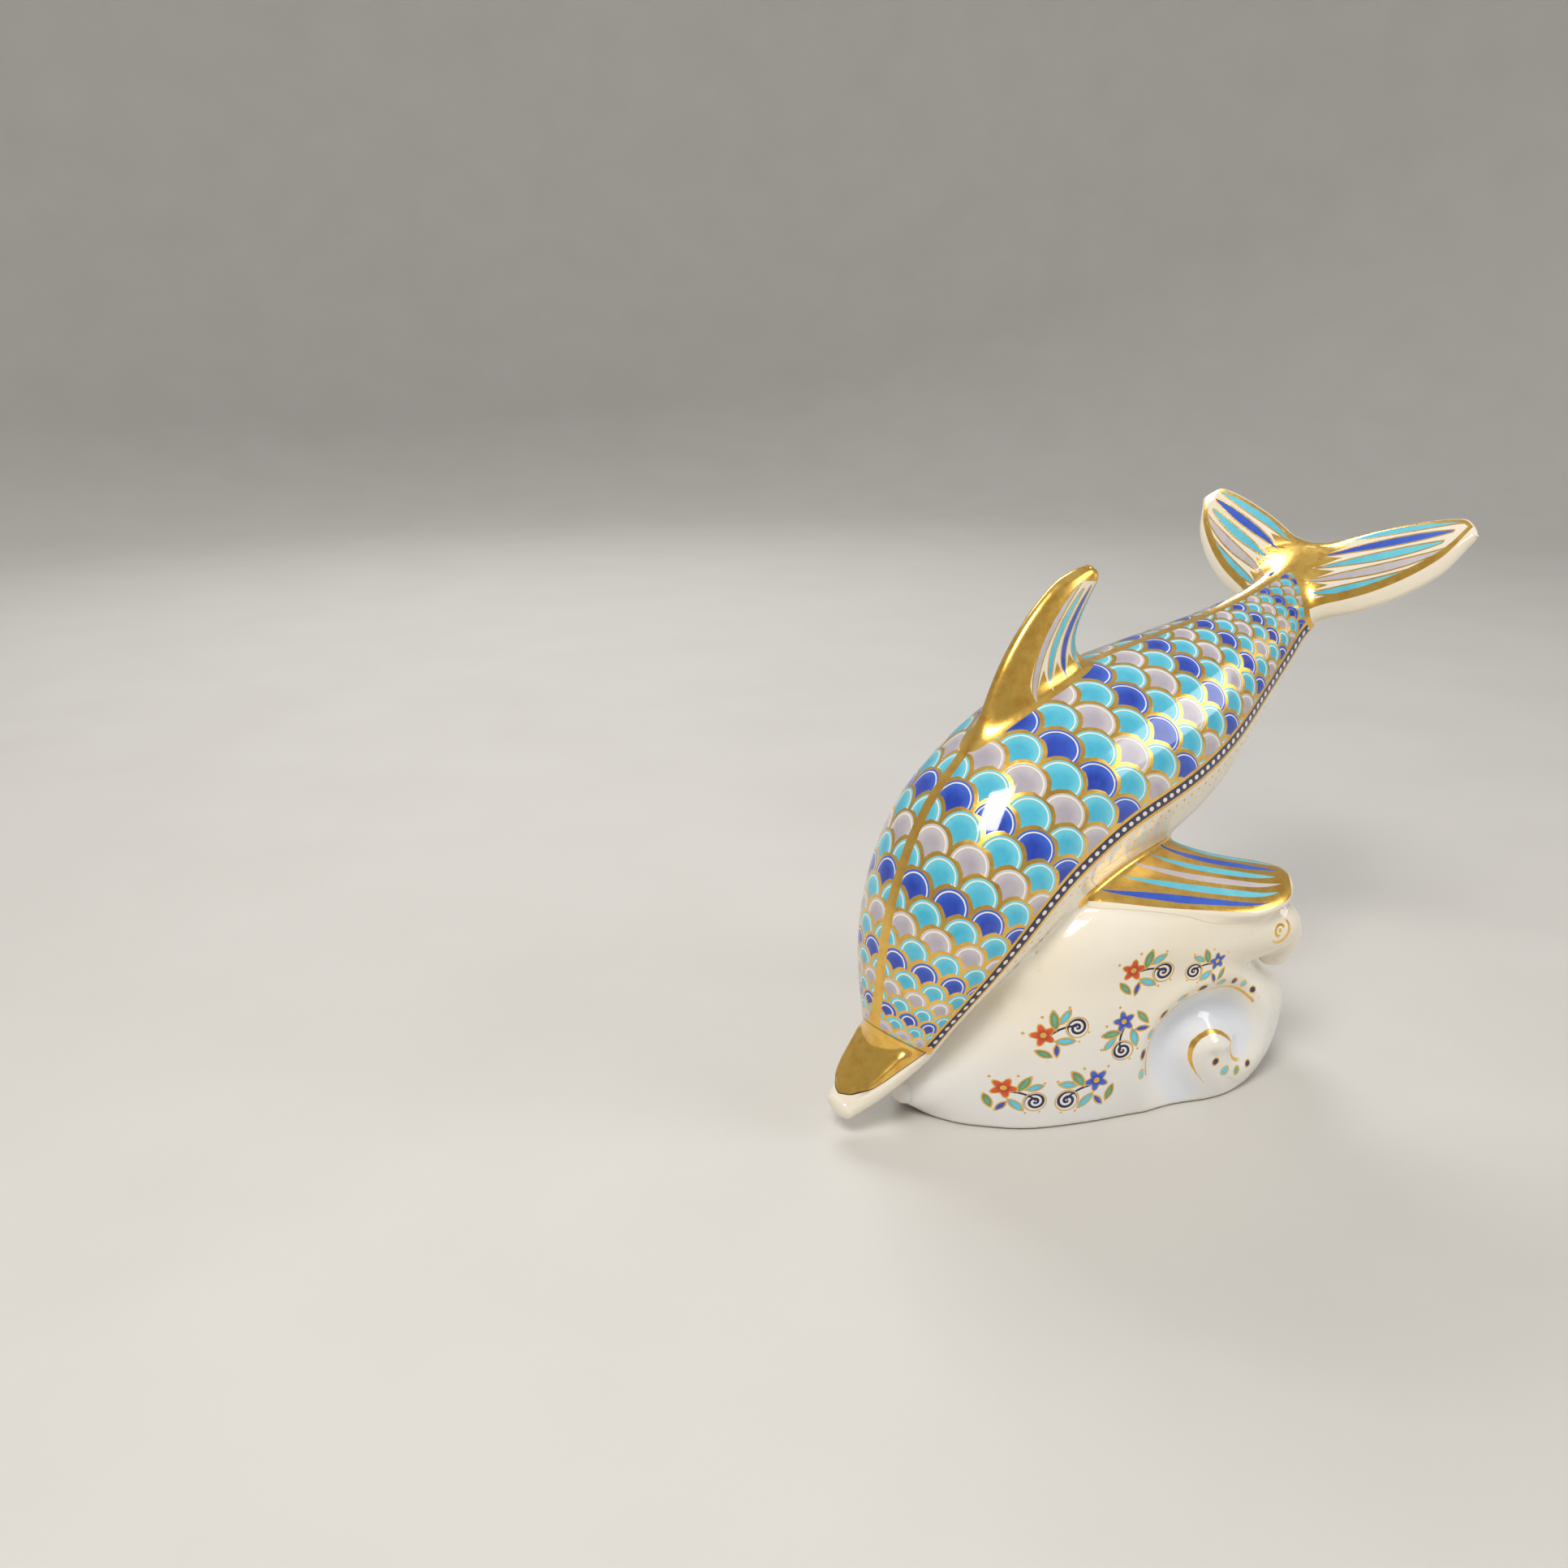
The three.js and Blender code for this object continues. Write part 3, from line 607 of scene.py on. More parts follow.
def fin_values(kind, p):
    """Place on a fin: mm from the leading and trailing edges, share of the chord, mm from the root, and distance to the fin."""
    x, y, z = p.T
    if kind == "fin":
        k, m, a = FIN.locate(x, z)
        half, d, lift = along(k, FIN.h), FIN.distance(x, y, z), np.abs(y)
        u, span, tip = -m / half, along(k, FIN.run) + a, FIN.run[-1] - along(k, FIN.run) - a
    elif kind == "flukes":
        c, s, n, mid, half, _ = FLUKES.chord(x, y, z)
        lift = np.abs(n + 0.00055 * s ** 2)
        u, d, span, tip = (c - mid) / half, flukes_distance(x, y, z), s, FLUKE_SPAN - s
    else:
        flipper = FLIPPERS[kind]
        q1, q2, n = flipper.local(x, y, z)
        k, m, a = flipper.ribs.locate(q1, q2)
        half, d = along(k, flipper.ribs.h), flipper.distance(x, y, z)
        top, foot = along(k, flipper.ribs.lift[:, 0]), along(k, flipper.ribs.lift[:, 1])
        lift = n - ((top + foot) / 2 + np.clip(m / half, -1.2, 1.2) * (top - foot) / 2)
        run = flipper.ribs.run
        u, span, tip = -m / half, along(k, run) + a, run[-1] - along(k, run) - a
    u = np.clip(u, -1.2, 1.2)
    ground = body_distance(x, y, z) - wave_distance(x, y, z)
    return {"lead_mm": 0.6 * (1 + u) * half + lift, "trail_mm": 0.6 * (1 - u) * half + lift, "chord": (u + 1) / 2, "chord_mm": 2 * half,
            "span_mm": span, "tip_mm": tip, "root_mm": d, "ground_mm": ground}


def nearest_fin(p):
    """Distance from points on the body to the nearest fin."""
    x, y, z = p.T
    d = np.minimum(FIN.distance(x, y, z), flukes_distance(x, y, z))
    side = FLIPPERS["left"].distance(x, -np.abs(y), z)
    return np.minimum(d, side)


# ---------------------------------------------------------------- the pieces

COARSE = 1.0


def make_body():
    """The body as rings from the tip of the beak to the tail, with the mouth line cut in and a ridge along each side of the beak."""
    ring_mm, around = 0.78 * COARSE, int(208 / COARSE)
    beak = np.interp(np.arange(0, _run[90], ring_mm * 0.7), _run, BODY.rib)
    rear_n = int((_run[-1] - _run[90]) / ring_mm)
    rear = np.interp(np.linspace(_run[90], _run[-1], rear_n), _run, BODY.rib)
    t = np.concatenate([beak[beak < CREASE - 0.03], rear])
    k = np.interp(t, BODY.rib, np.arange(len(BODY.rib)))
    caps = np.linspace(0.08, 0.5 * math.pi, 12, endpoint=False)
    rings = [(0.0, -BODY.cap[0] * math.cos(c), math.sin(c)) for c in caps]
    rings += [(kk, 0.0, 1.0) for kk in k]
    rings += [(len(BODY.rib) - 1.0, BODY.cap[1] * math.cos(c), math.sin(c)) for c in caps[::-1]]
    kk, aa, ss = np.array(rings).T
    theta = np.linspace(0, 2 * math.pi, around, endpoint=False)
    turn = np.minimum(theta, 2 * math.pi - theta) / math.pi
    rib = along(kk, BODY.rib)[:, None]
    border = (turn[None, :] - along(kk, BORDER_AT)[:, None]) * along(kk, HALF_GIRTH)[:, None]
    size = np.hypot(along(kk, BODY.h)[:, None] * np.cos(theta), along(kk, BODY.w)[:, None] * np.sin(theta))
    mouth = smoothstep(0.15, 0.7, rib) * (1 - smoothstep(2.7, 3.15, rib))
    lift = -0.42 * mouth * np.exp(-(border / 0.55) ** 2)
    ridge = smoothstep(0.25, 0.9, rib) * (1 - smoothstep(2.3, 2.95, rib))
    lift = lift + 0.75 * ridge * np.exp(-((turn[None, :] - 0.29) / 0.06) ** 2) - 0.75 * ridge * np.exp(-((turn[None, :]) / 0.19) ** 2)
    # the forehead swells out over the root of the beak, most on the spine
    past = along(kk, CREASE_RUN)[:, None]
    reach = 0.3 + 4.4 * np.exp(-(turn[None, :] / 0.26) ** 2)
    swell = np.where(past < 0, np.clip(1 + past / reach, 0, 1), np.clip(1 - past / 16, 0, 1) ** 1.78)
    lift = lift + 2.4 * swell * np.exp(-(turn[None, :] / 0.2) ** 2)
    grow = ss[:, None] * (1 + lift / size)
    c = np.stack([along(kk, BODY.c[:, 0]), along(kk, BODY.c[:, 1])], 1) + aa[:, None] * np.stack([along(kk, BODY.p[:, 0]), along(kk, BODY.p[:, 1])], 1)
    across = along(kk, BODY.h)[:, None] * np.cos(theta) * grow
    verts = np.stack([c[:, :1] + along(kk, BODY.n[:, 0])[:, None] * across, along(kk, BODY.w)[:, None] * np.sin(theta) * grow,
                      c[:, 1:] + along(kk, BODY.n[:, 1])[:, None] * across], -1)
    rows, cols = verts.shape[:2]
    i, j = np.meshgrid(np.arange(rows - 1), np.arange(cols), indexing="ij")
    jn = (j + 1) % cols
    quads = np.stack([i * cols + j, i * cols + jn, (i + 1) * cols + jn, (i + 1) * cols + j], -1).reshape(-1, 4)
    flat = verts.reshape(-1, 3)
    values = dolphin_values(flat, np.repeat(kk, cols), np.tile(turn, rows))
    values.update({"lead_mm": np.full(len(flat), 20.0), "trail_mm": np.full(len(flat), 20.0), "chord": np.full(len(flat), 0.5), "chord_mm": np.full(len(flat), 40.0), "ground_mm": np.full(len(flat), -9.0),
                   "span_mm": np.zeros(len(flat)), "tip_mm": np.full(len(flat), 30.0), "root_mm": nearest_fin(flat)})
    values["crease_mm"] = np.repeat(along(kk, CREASE_RUN) + aa, cols)
    obj = piece("dolphin_body_china", flat, quads, "dolphin_body", "figure", values=values, ends=(range(cols - 1, -1, -1), range((rows - 1) * cols, rows * cols)))
    # one chart for the whole skin, cut along the belly
    uv = obj.data.uv_layers.new(name="OFBake")
    loops = np.zeros(len(obj.data.loops), np.int32)
    obj.data.loops.foreach_get("vertex_index", loops)
    ring, seg = loops // cols, loops % cols
    u = (seg / cols + 0.5) % 1.0
    u = u.reshape(-1)
    starts = np.zeros(len(obj.data.polygons), np.int32)
    obj.data.polygons.foreach_get("loop_start", starts)
    for s in starts[:len(quads)][np.ptp(u[:len(quads) * 4].reshape(-1, 4), axis=1) > 0.5]:
        part = u[s:s + 4]
        part[part < 0.25] += 1.0
    place = np.concatenate([[0], np.cumsum(np.linalg.norm(np.diff(flat.reshape(rows, cols, 3).mean(1), axis=0), axis=1))])
    v = place[ring] / place[-1]
    uv.data.foreach_set("uv", np.stack([0.01 + 0.48 * u, 0.01 + 0.98 * v], 1).astype(np.float32).ravel())
    return obj


def substrate(x, y, z):
    """Body and wave together, with the glaze's fillet between them."""
    return smooth_min(body_distance(x, y, z), wave_distance(x, y, z), 5.0)


def flipper_fillet(x):
    return 7.0 - 3.6 * smoothstep(96, 112, x)


def grown_on(own, ground, fillet):
    """A piece that grows out of the ground with a fillet of that width at x, and its visible surface."""
    def seen(x, y, z):
        return smooth_min(own(x, y, z), ground(x, y, z), fillet(x))

    def solid(x, y, z):
        g = ground(x, y, z)
        f = smooth_min(own(x, y, z), g, fillet(x))
        return np.maximum(np.maximum(f, -0.7 - g), (f - g + 0.016) * 10)
    return solid, seen


def mirrored(verts, quads, normals):
    return verts * [1, -1, 1], quads[:, ::-1], normals * [1, -1, 1]


def make_fin():
    solid, seen = grown_on(FIN.distance, body_distance, lambda x: 7.0)
    verts, quads, normals = field_mesh(solid, (28, -13, 84), (88, 13, 139), 0.5 * COARSE, seen)
    values = dolphin_values(verts) | fin_values("fin", verts)
    return piece("dorsal_fin_china", verts, quads, "dorsal_fin", "figure", normals, values)


def make_flukes():
    solid, seen = grown_on(flukes_distance, body_distance, lambda x: 8.0)
    verts, quads, normals = field_mesh(solid, (136, -46.5, 104), (171, 46.5, 147), 0.5 * COARSE, seen)
    values = dolphin_values(verts) | fin_values("flukes", verts)
    return piece("tail_flukes_china", verts, quads, "tail_flukes", "figure", normals, values)


def make_flippers():
    def own(x, y, z):
        # the root thins out under the belly, short of the middle
        return FLIPPERS["left"].distance(x, y, z) + 9.0 * smoothstep(-10.0, -2.0, y)

    solid, seen = grown_on(own, substrate, flipper_fillet)
    left = field_mesh(solid, (44, -48, 42), (122, 9, 76), 0.5 * COARSE, seen)
    out = []
    for side, shape in (("left", left), ("right", mirrored(*left))):
        values = dolphin_values(shape[0]) | fin_values(side, shape[0])
        out.append(piece(side + "_flipper_china", shape[0], shape[1], side + "_flipper", "figure", shape[2], values))
    return out


def wave_values(p):
    x, y, z = p.T
    d, _, run, side = valley(x, z)
    return {"valley_mm": d, "valley_run": run, "valley_side": side}


def make_wave():
    def seen(x, y, z):
        return smooth_min(wave_distance(x, y, z), body_distance(x, y, z), 5.0)

    def solid(x, y, z):
        body, mound = body_distance(x, y, z), mound_distance(x, y, z)
        wave = smooth_max(smooth_min(mound + scroll_relief(x, y, z), crest_distance(x, y, z), 9.0), -z, 1.5)
        f = smooth_min(wave, body, 5.0)
        out = np.maximum(np.maximum(f, -0.7 - body), (f - body + 0.016) * 10)
        recess = np.maximum(mound + FOOT_RIM, z - FOOT_RECESS)
        hole = np.maximum(np.hypot(x - HOLE_X, y) - HOLE_RADIUS, z - 8.0)
        hollow = np.maximum(np.maximum(mound + scroll_relief(x, y, z) + WAVE_WALL + 0.6, FLOOR_TOP - z), WAVE_WALL - body)
        return np.maximum(out, -np.minimum(np.minimum(recess, hole), hollow))
    verts, quads, normals = field_mesh(solid, (16.2, -43, -1.1), (133, 43, 66), 0.82 * COARSE, seen)
    return piece("wave_base_china", verts, quads, "wave_base", "figure", normals, wave_values(verts))


def make_curls():
    def own(x, y, z):
        return curl_distance(x, y, z, 1)

    def ground(x, y, z):
        return smooth_min(FLIPPERS["left"].distance(x, y, z), substrate(x, y, z), flipper_fillet(x))

    solid, seen = grown_on(own, ground, lambda x: 4.0)
    left = field_mesh(solid, (100, -46, 28), (126, -25, 56), 0.42 * COARSE, seen)
    out = []
    for side, shape in (("left", left), ("right", mirrored(*left))):
        out.append(piece(side + "_crest_curl_china", shape[0], shape[1], side + "_crest_curl", "figure", shape[2], wave_values(shape[0])))
    return out


body_piece = make_body()
fin_piece = make_fin()
flukes_piece = make_flukes()
flipper_pieces = make_flippers()
wave_piece = make_wave()
curl_pieces = make_curls()
DOLPHIN = [body_piece, fin_piece, flukes_piece] + flipper_pieces
WAVE = [wave_piece] + curl_pieces


# ---------------------------------------------------------------- materials

class Val:
    """A number in a node tree, with arithmetic that adds nodes."""

    def __init__(self, graph, socket):
        self.g, self.s = graph, socket

    def __add__(self, o): return self.g.math("ADD", self, o)
    def __radd__(self, o): return self.g.math("ADD", o, self)
    def __sub__(self, o): return self.g.math("SUBTRACT", self, o)
    def __rsub__(self, o): return self.g.math("SUBTRACT", o, self)
    def __mul__(self, o): return self.g.math("MULTIPLY", self, o)
    def __rmul__(self, o): return self.g.math("MULTIPLY", o, self)
    def __truediv__(self, o): return self.g.math("DIVIDE", self, o)
    def __neg__(self): return self.g.math("MULTIPLY", self, -1.0)
    def abs(self): return self.g.math("ABSOLUTE", self)
    def floor(self): return self.g.math("FLOOR", self)
    def frac(self): return self.g.math("FRACT", self)
    def max(self, o): return self.g.math("MAXIMUM", self, o)
    def min(self, o): return self.g.math("MINIMUM", self, o)
    def cos(self): return self.g.math("COSINE", self)
    def sin(self): return self.g.math("SINE", self)
    def less(self, o): return self.g.math("LESS_THAN", self, o)
    def more(self, o): return self.g.math("GREATER_THAN", self, o)
    def mod(self, o): return self - (self / o).floor() * o
    def clamp(self): return self.max(0.0).min(1.0)


class Graph:
    """A material's nodes, with short names for the ones used here."""

    def __init__(self, name):
        self.material = bpy.data.materials.new(name)
        self.material.use_nodes = True
        self.tree = self.material.node_tree
        self.tree.nodes.clear()
        self.cache = {}

    def node(self, kind, **props):
        n = self.tree.nodes.new(kind)
        for key, value in props.items():
            setattr(n, key, value)
        return n

    def put(self, socket, value):
        if isinstance(value, Val):
            self.tree.links.new(value.s, socket)
        elif isinstance(value, bpy.types.NodeSocket):
            self.tree.links.new(value, socket)
        else:
            socket.default_value = value

    def math(self, operation, *args):
        n = self.node("ShaderNodeMath", operation=operation)
        for socket, value in zip(n.inputs, args):
            self.put(socket, value)
        return Val(self, n.outputs[0])

    def attr(self, name):
        if name not in self.cache:
            n = self.node("ShaderNodeAttribute", attribute_name=name)
            self.cache[name] = Val(self, n.outputs["Fac"])
        return self.cache[name]

    def place(self):
        """Position in mm, in the working frame: (vector socket, x, y, z)."""
        if "place" not in self.cache:
            coord = self.node("ShaderNodeTexCoord")
            scale = self.node("ShaderNodeVectorMath", operation="MULTIPLY_ADD")
            self.tree.links.new(coord.outputs["Object"], scale.inputs[0])
            scale.inputs[1].default_value = (1000, 1000, 1000)
            scale.inputs[2].default_value = (BEAK_TO_ORIGIN, 0, 0)
            split = self.node("ShaderNodeSeparateXYZ")
            self.tree.links.new(scale.outputs[0], split.inputs[0])
            self.cache["place"] = (scale.outputs[0],) + tuple(Val(self, o) for o in split.outputs)
        return self.cache["place"]

    def noise(self, size_mm, detail=2.0, rough=0.5, stretch=None):
        """Noise from 0 to 1, about 0.5, with features of that size."""
        n = self.node("ShaderNodeTexNoise")
        n.inputs["Scale"].default_value = 1.0 / size_mm
        n.inputs["Detail"].default_value = detail
        n.inputs["Roughness"].default_value = rough
        vector = self.place()[0]
        if stretch:
            m = self.node("ShaderNodeVectorMath", operation="MULTIPLY")
            self.tree.links.new(vector, m.inputs[0])
            m.inputs[1].default_value = stretch
            vector = m.outputs[0]
        self.tree.links.new(vector, n.inputs["Vector"])
        return Val(self, n.outputs["Fac"])

    def ramp(self, value, lo, hi, to_lo=0.0, to_hi=1.0):
        n = self.node("ShaderNodeMapRange", interpolation_type="SMOOTHSTEP")
        for i, v in enumerate((value, lo, hi, to_lo, to_hi)):
            self.put(n.inputs[i], v)
        return Val(self, n.outputs[0])

    def cover(self, d, soft=0.09):
        """1 inside a shape whose distance in mm is negative inside, 0 outside."""
        return self.ramp(d, -soft, soft, 1.0, 0.0)

    def hypot(self, a, b):
        return self.math("SQRT", a * a + b * b)

    def mix(self, factor, a, b):
        n = self.node("ShaderNodeMix", data_type="RGBA")
        for socket, value in ((n.inputs[0], factor), (n.inputs[6], a), (n.inputs[7], b)):
            self.put(socket, value)
        return n.outputs[2]

    def lerp(self, factor, a, b):
        n = self.node("ShaderNodeMix", data_type="FLOAT")
        for socket, value in zip(n.inputs[:1] + n.inputs[2:4], (factor, a, b)):
            self.put(socket, value)
        return Val(self, n.outputs[0])


def srgb(r, g, b):
    def lin(c):
        c /= 255.0
        return c / 12.92 if c <= 0.04045 else ((c + 0.055) / 1.055) ** 2.4
    return (lin(r), lin(g), lin(b), 1.0)


# the second, bluish white is painted shade, laid on the wave's hollows and low parts
CREAM, COOL_SHADE = srgb(246, 236, 216), srgb(228, 233, 243)
COBALT, COBALT_DEEP = srgb(66, 108, 216), srgb(34, 62, 172)
TURQUOISE, TURQUOISE_DEEP = srgb(122, 216, 234), srgb(70, 182, 214)
LILAC, LILAC_DEEP = srgb(212, 206, 208), srgb(176, 168, 182)
NAVY = srgb(22, 16, 74)
CORAL, CORAL_DEEP = srgb(226, 92, 44), srgb(178, 48, 22)
SAGE, SAGE_DEEP = srgb(128, 184, 146), srgb(70, 130, 96)
GOLD, GOLD_DEEP = srgb(250, 204, 100), srgb(232, 174, 70)
PEARL = srgb(250, 244, 232)
UMBER = srgb(84, 48, 18)


class Painting:
    """Layers of enamel and gold laid over glazed china."""

    def __init__(self, name):
        self.g = g = Graph(name)
        pool = g.noise(34.0, 1.0)
        self.colour = g.mix(g.ramp(pool, 0.35, 0.7), CREAM, srgb(248, 241, 226))
        self.gold, self.raised, self.matt = None, None, None
        self.wobble = (g.noise(2.6, 1.0) - 0.5) * 0.34

    def either(self, old, mask):
        return mask if old is None else old.max(mask)

    def without(self, old, mask):
        return None if old is None else old * (1.0 - mask)

    def enamel(self, mask, colour, deep=None, shade=None):
        """A coat of enamel. Its colour deepens where shade is 1, and drifts as brushed enamel does."""
        g = self.g
        if deep is not None:
            if "brush" not in g.cache:
                g.cache["brush"] = g.ramp(g.noise(3.4, 3.0, 0.6), 0.3, 0.75)
            amount = g.cache["brush"] * 0.34 if shade is None else (g.cache["brush"] * 0.28 + shade * 0.72).min(1.0)
            colour = g.mix(amount, colour, deep)
        self.colour = g.mix(mask, self.colour, colour)
        self.gold = self.without(self.gold, mask)
        self.raised = self.either(self.raised, mask * 0.6)

    def gild(self, mask):
        g = self.g
        if "gilt" not in g.cache:
            g.cache["gilt"] = g.mix(g.ramp(g.noise(3.4, 3.0, 0.6), 0.38, 0.8), GOLD, GOLD_DEEP)
        self.colour = g.mix(mask, self.colour, g.cache["gilt"])
        self.gold = self.either(self.gold, mask)
        self.raised = self.either(self.raised, mask)

    def finish(self, bare=None):
        """The shader: clear glossy glaze, brushed gold, and bare china on the foot."""
        g = self.g
        bsdf = g.node("ShaderNodeBsdfPrincipled")
        out = g.node("ShaderNodeOutputMaterial")
        g.tree.links.new(bsdf.outputs[0], out.inputs[0])
        bsdf.inputs["IOR"].default_value = 1.52
        bsdf.inputs["Coat Weight"].default_value = 0.35
        bsdf.inputs["Coat Roughness"].default_value = 0.04
        bsdf.inputs["Coat IOR"].default_value = 1.5
        fine = g.noise(0.55, 2.0, 0.6)
        glaze = g.ramp(g.noise(14.0, 2.0), 0.3, 0.75, 0.07, 0.13)
        brushed = g.ramp(g.noise(1.6, 3.0, 0.6), 0.3, 0.75, 0.2, 0.28)
        colour, rough = self.colour, glaze
        if self.gold is not None:
            rough = g.lerp(self.gold, glaze, brushed)
            g.put(bsdf.inputs["Metallic"], self.gold * 0.86)
        if bare is not None:
            colour = g.mix(bare, colour, g.mix(g.noise(1.2, 4.0, 0.7), srgb(224, 216, 200), srgb(190, 178, 158)))
            rough = g.lerp(bare, rough, 0.72)
        g.put(bsdf.inputs["Base Color"], colour)
        g.put(bsdf.inputs["Roughness"], rough)
        height = (g.noise(9.0, 1.0) - 0.5) * 0.5
        if self.gold is not None:
            height = height + self.raised * 0.35 + fine * self.gold * 0.05
        bump = g.node("ShaderNodeBump")
        bump.inputs["Strength"].default_value = 0.35
        bump.inputs["Distance"].default_value = 0.00012
        g.put(bump.inputs["Height"], height)
        g.tree.links.new(bump.outputs[0], bsdf.inputs["Normal"])
        return g.material


def dolphin_material(name, kind):
    """Scale ground on the back, a beaded border along the flank, a cream belly, a gilt beak, and rayed fins."""
    paint = Painting(name)
    g = paint.g
    col, row, size = g.attr("scale_col"), g.attr("scale_row"), g.attr("scale_mm")
    border, run = g.attr("border_mm"), g.attr("border_run")
    crease, spine, root = g.attr("crease_mm"), g.attr("spine_mm"), g.attr("root_mm")
    wob = paint.wobble
    behind = g.cover(1.0 - crease)
    off_fin = g.cover(1.4 - root)

    # rows of overlapping scales: each point belongs to the scale nearer the head if that one reaches it
    row2 = row * 2.0
    near = row2.floor()
    along_row = row2 - near
    odd = near.mod(2.0)
    side_a = (col + odd * 0.5).frac() - 0.5
    side_b = (col + (1.0 - odd) * 0.5).frac() - 0.5
    r_a = g.hypot(side_a, along_row * 0.5)
    r_b = g.hypot(side_b, (1.0 - along_row) * 0.5)
    in_a = r_a.less(0.5)
    r = g.lerp(in_a, r_b, r_a)
    which = (near + (1.0 - in_a)).mod(4.0)
    edge = (r_a - 0.5).abs() * size
    inside = (0.5 - r) * size
    back = g.cover(border + 2.5 + wob * 0.3) * behind * off_fin
    deepen = g.ramp(r, 0.12, 0.42, 1.0, 0.0)
    paint.enamel(back, TURQUOISE, TURQUOISE_DEEP, deepen)
    is_cobalt, is_lilac = which.less(0.5) * back, (which - 2.0).abs().less(0.5) * back
    paint.enamel(is_cobalt, COBALT, COBALT_DEEP, deepen)
    paint.enamel(is_lilac, LILAC, LILAC_DEEP, deepen)
    paint.enamel(g.cover((inside - 1.25 + wob * 0.5).abs() - 0.17) * back * g.ramp(size, 4.5, 6.0), PEARL)
    line = g.ramp(size, 3.0, 10.0, 0.28, 0.56)
    paint.gild(g.cover(edge - line + wob * 0.4) * back)

    # spine, flank border with pearls, and dots on the belly
    paint.gild(g.cover(spine - 1.5 + wob) * behind * off_fin)
    face = g.cover(3.0 - crease) * off_fin
    paint.gild(g.cover((border + 0.1).abs() - 2.5 + wob * 0.4) * g.cover(0.8 - crease) * off_fin)
    paint.enamel(g.cover((border + 0.1).abs() - 1.55 + wob * 0.3) * face, NAVY)
    bead = g.hypot(((run / 2.5).frac() - 0.5) * 2.5, border + 0.1)
    paint.enamel(g.cover(bead - 0.72) * face, PEARL)
    dots = g.hypot(((run / 3.1).frac() - 0.5) * 3.1, border - 4.4)
    more = g.hypot(((run / 3.1 + 0.5).frac() - 0.5) * 3.1, border - 6.6)
    paint.gild(g.cover(dots - 0.42).max(g.cover(more - 0.3)) * face * g.cover(g.attr("ground_mm"), 0.5))

    # beak: gilt above the mouth line, cream below it and round the tip
    from_tip = crease + float(_run[90])
    bill = g.hypot((border + 3.6 + g.ramp(from_tip, 3.0, 11.0, 1.3, 0.0)).max(0.0), (4.0 - from_tip).max(0.0)) - 3.2 + wob * 0.3
    paint.gild(g.cover(bill) * g.cover(crease - 1.2 + wob))
    paint.enamel(g.cover((bill - 0.2).abs() - 0.24) * g.cover(crease - 1.2), UMBER)
    # painted shade: a faint umber band darkens the crease where the beak meets the forehead
    paint.enamel(g.cover((crease - 1.0).abs() - 0.3 + wob) * g.cover(border + 0.6) * 0.6, UMBER)

    if kind != "body":
        lead, trail, tip = g.attr("lead_mm"), g.attr("trail_mm"), g.attr("tip_mm")
        chord, span = g.attr("chord"), g.attr("span_mm")
        on = g.cover(root - 1.4 + wob * 0.3)
        rays, start, stop = {"fin": (6.0, 9.0, float(FIN.run[-1]) - 3.5), "flukes": (6.0, 3.0, 40.5),
                             "flipper": (6.0, 9.0, float(FLIPPERS["left"].ribs.run[-1]) - 3.0)}[kind]
        cell = chord * rays
        gap = (cell.frac() - 0.5).abs()               # 0 along the middle of a ray, 0.5 between two
        width = g.attr("chord_mm") / rays
        late = (cell.floor() * 0.618).frac()          # no two neighbours start and stop together
        s = (span - late * 4.0 - start) / (stop - start - late * 7.0)
        swell, fall = (s / 0.62).clamp(), ((s - 0.62) / 0.38).clamp()
        blade = swell * (2.0 - swell) * g.math("SQRT", 1.0 - fall * fall)
        ray = (gap - blade * 0.35) * width + wob * 0.25
        alive = on * s.more(0.01) * s.less(0.99)
        fade = g.ramp(s, 0.1, 0.95, 1.0, 0.0)
        paint.enamel(on, CREAM)
        if kind == "flipper":
            paint.gild(on)
        else:
            paint.gild(g.cover(span - start - 3.0 - gap * 13.0 + wob) * on)
        number = cell.floor().mod(4.0)
        paint.enamel(g.cover(ray) * alive, TURQUOISE, TURQUOISE_DEEP, fade * 0.7)
        paint.enamel(g.cover(ray) * alive * number.less(0.5), COBALT, COBALT_DEEP, fade * 0.6)
        paint.enamel(g.cover(ray) * alive * (number - 2.0).abs().less(0.5), LILAC, LILAC_DEEP, fade * 0.7)
        paint.gild(g.cover(ray.abs() - 0.22) * alive)
        front, rear, end = {"fin": (1.6, 1.4, 4.0), "flukes": (6.6, 1.9, 2.4), "flipper": (2.8, 2.1, 2.4)}[kind]
        edges = (lead - front).min(trail - rear).min(tip - end)
        if kind == "fin":
            edges = edges.min((chord - 0.36) * g.attr("chord_mm"))      # the front third is gilt all over
        paint.gild(g.cover(edges + wob * 0.5) * on)
        if kind != "fin":
            rim = {"flukes": (4.6, 0.8, 1.2), "flipper": (1.2, 1.0, 1.2)}[kind]
            paint.enamel(g.cover((lead - rim[0]).min(trail - rim[1]).min(tip - rim[2])) * on, CREAM)
        paint.gild(g.cover((root - 1.7).abs() - 0.5 + wob * 0.2) * g.cover(g.attr("ground_mm"), 0.5))
    else:
        paint.gild(g.cover(root - 2.2 + wob * 0.2))
    return paint.finish()


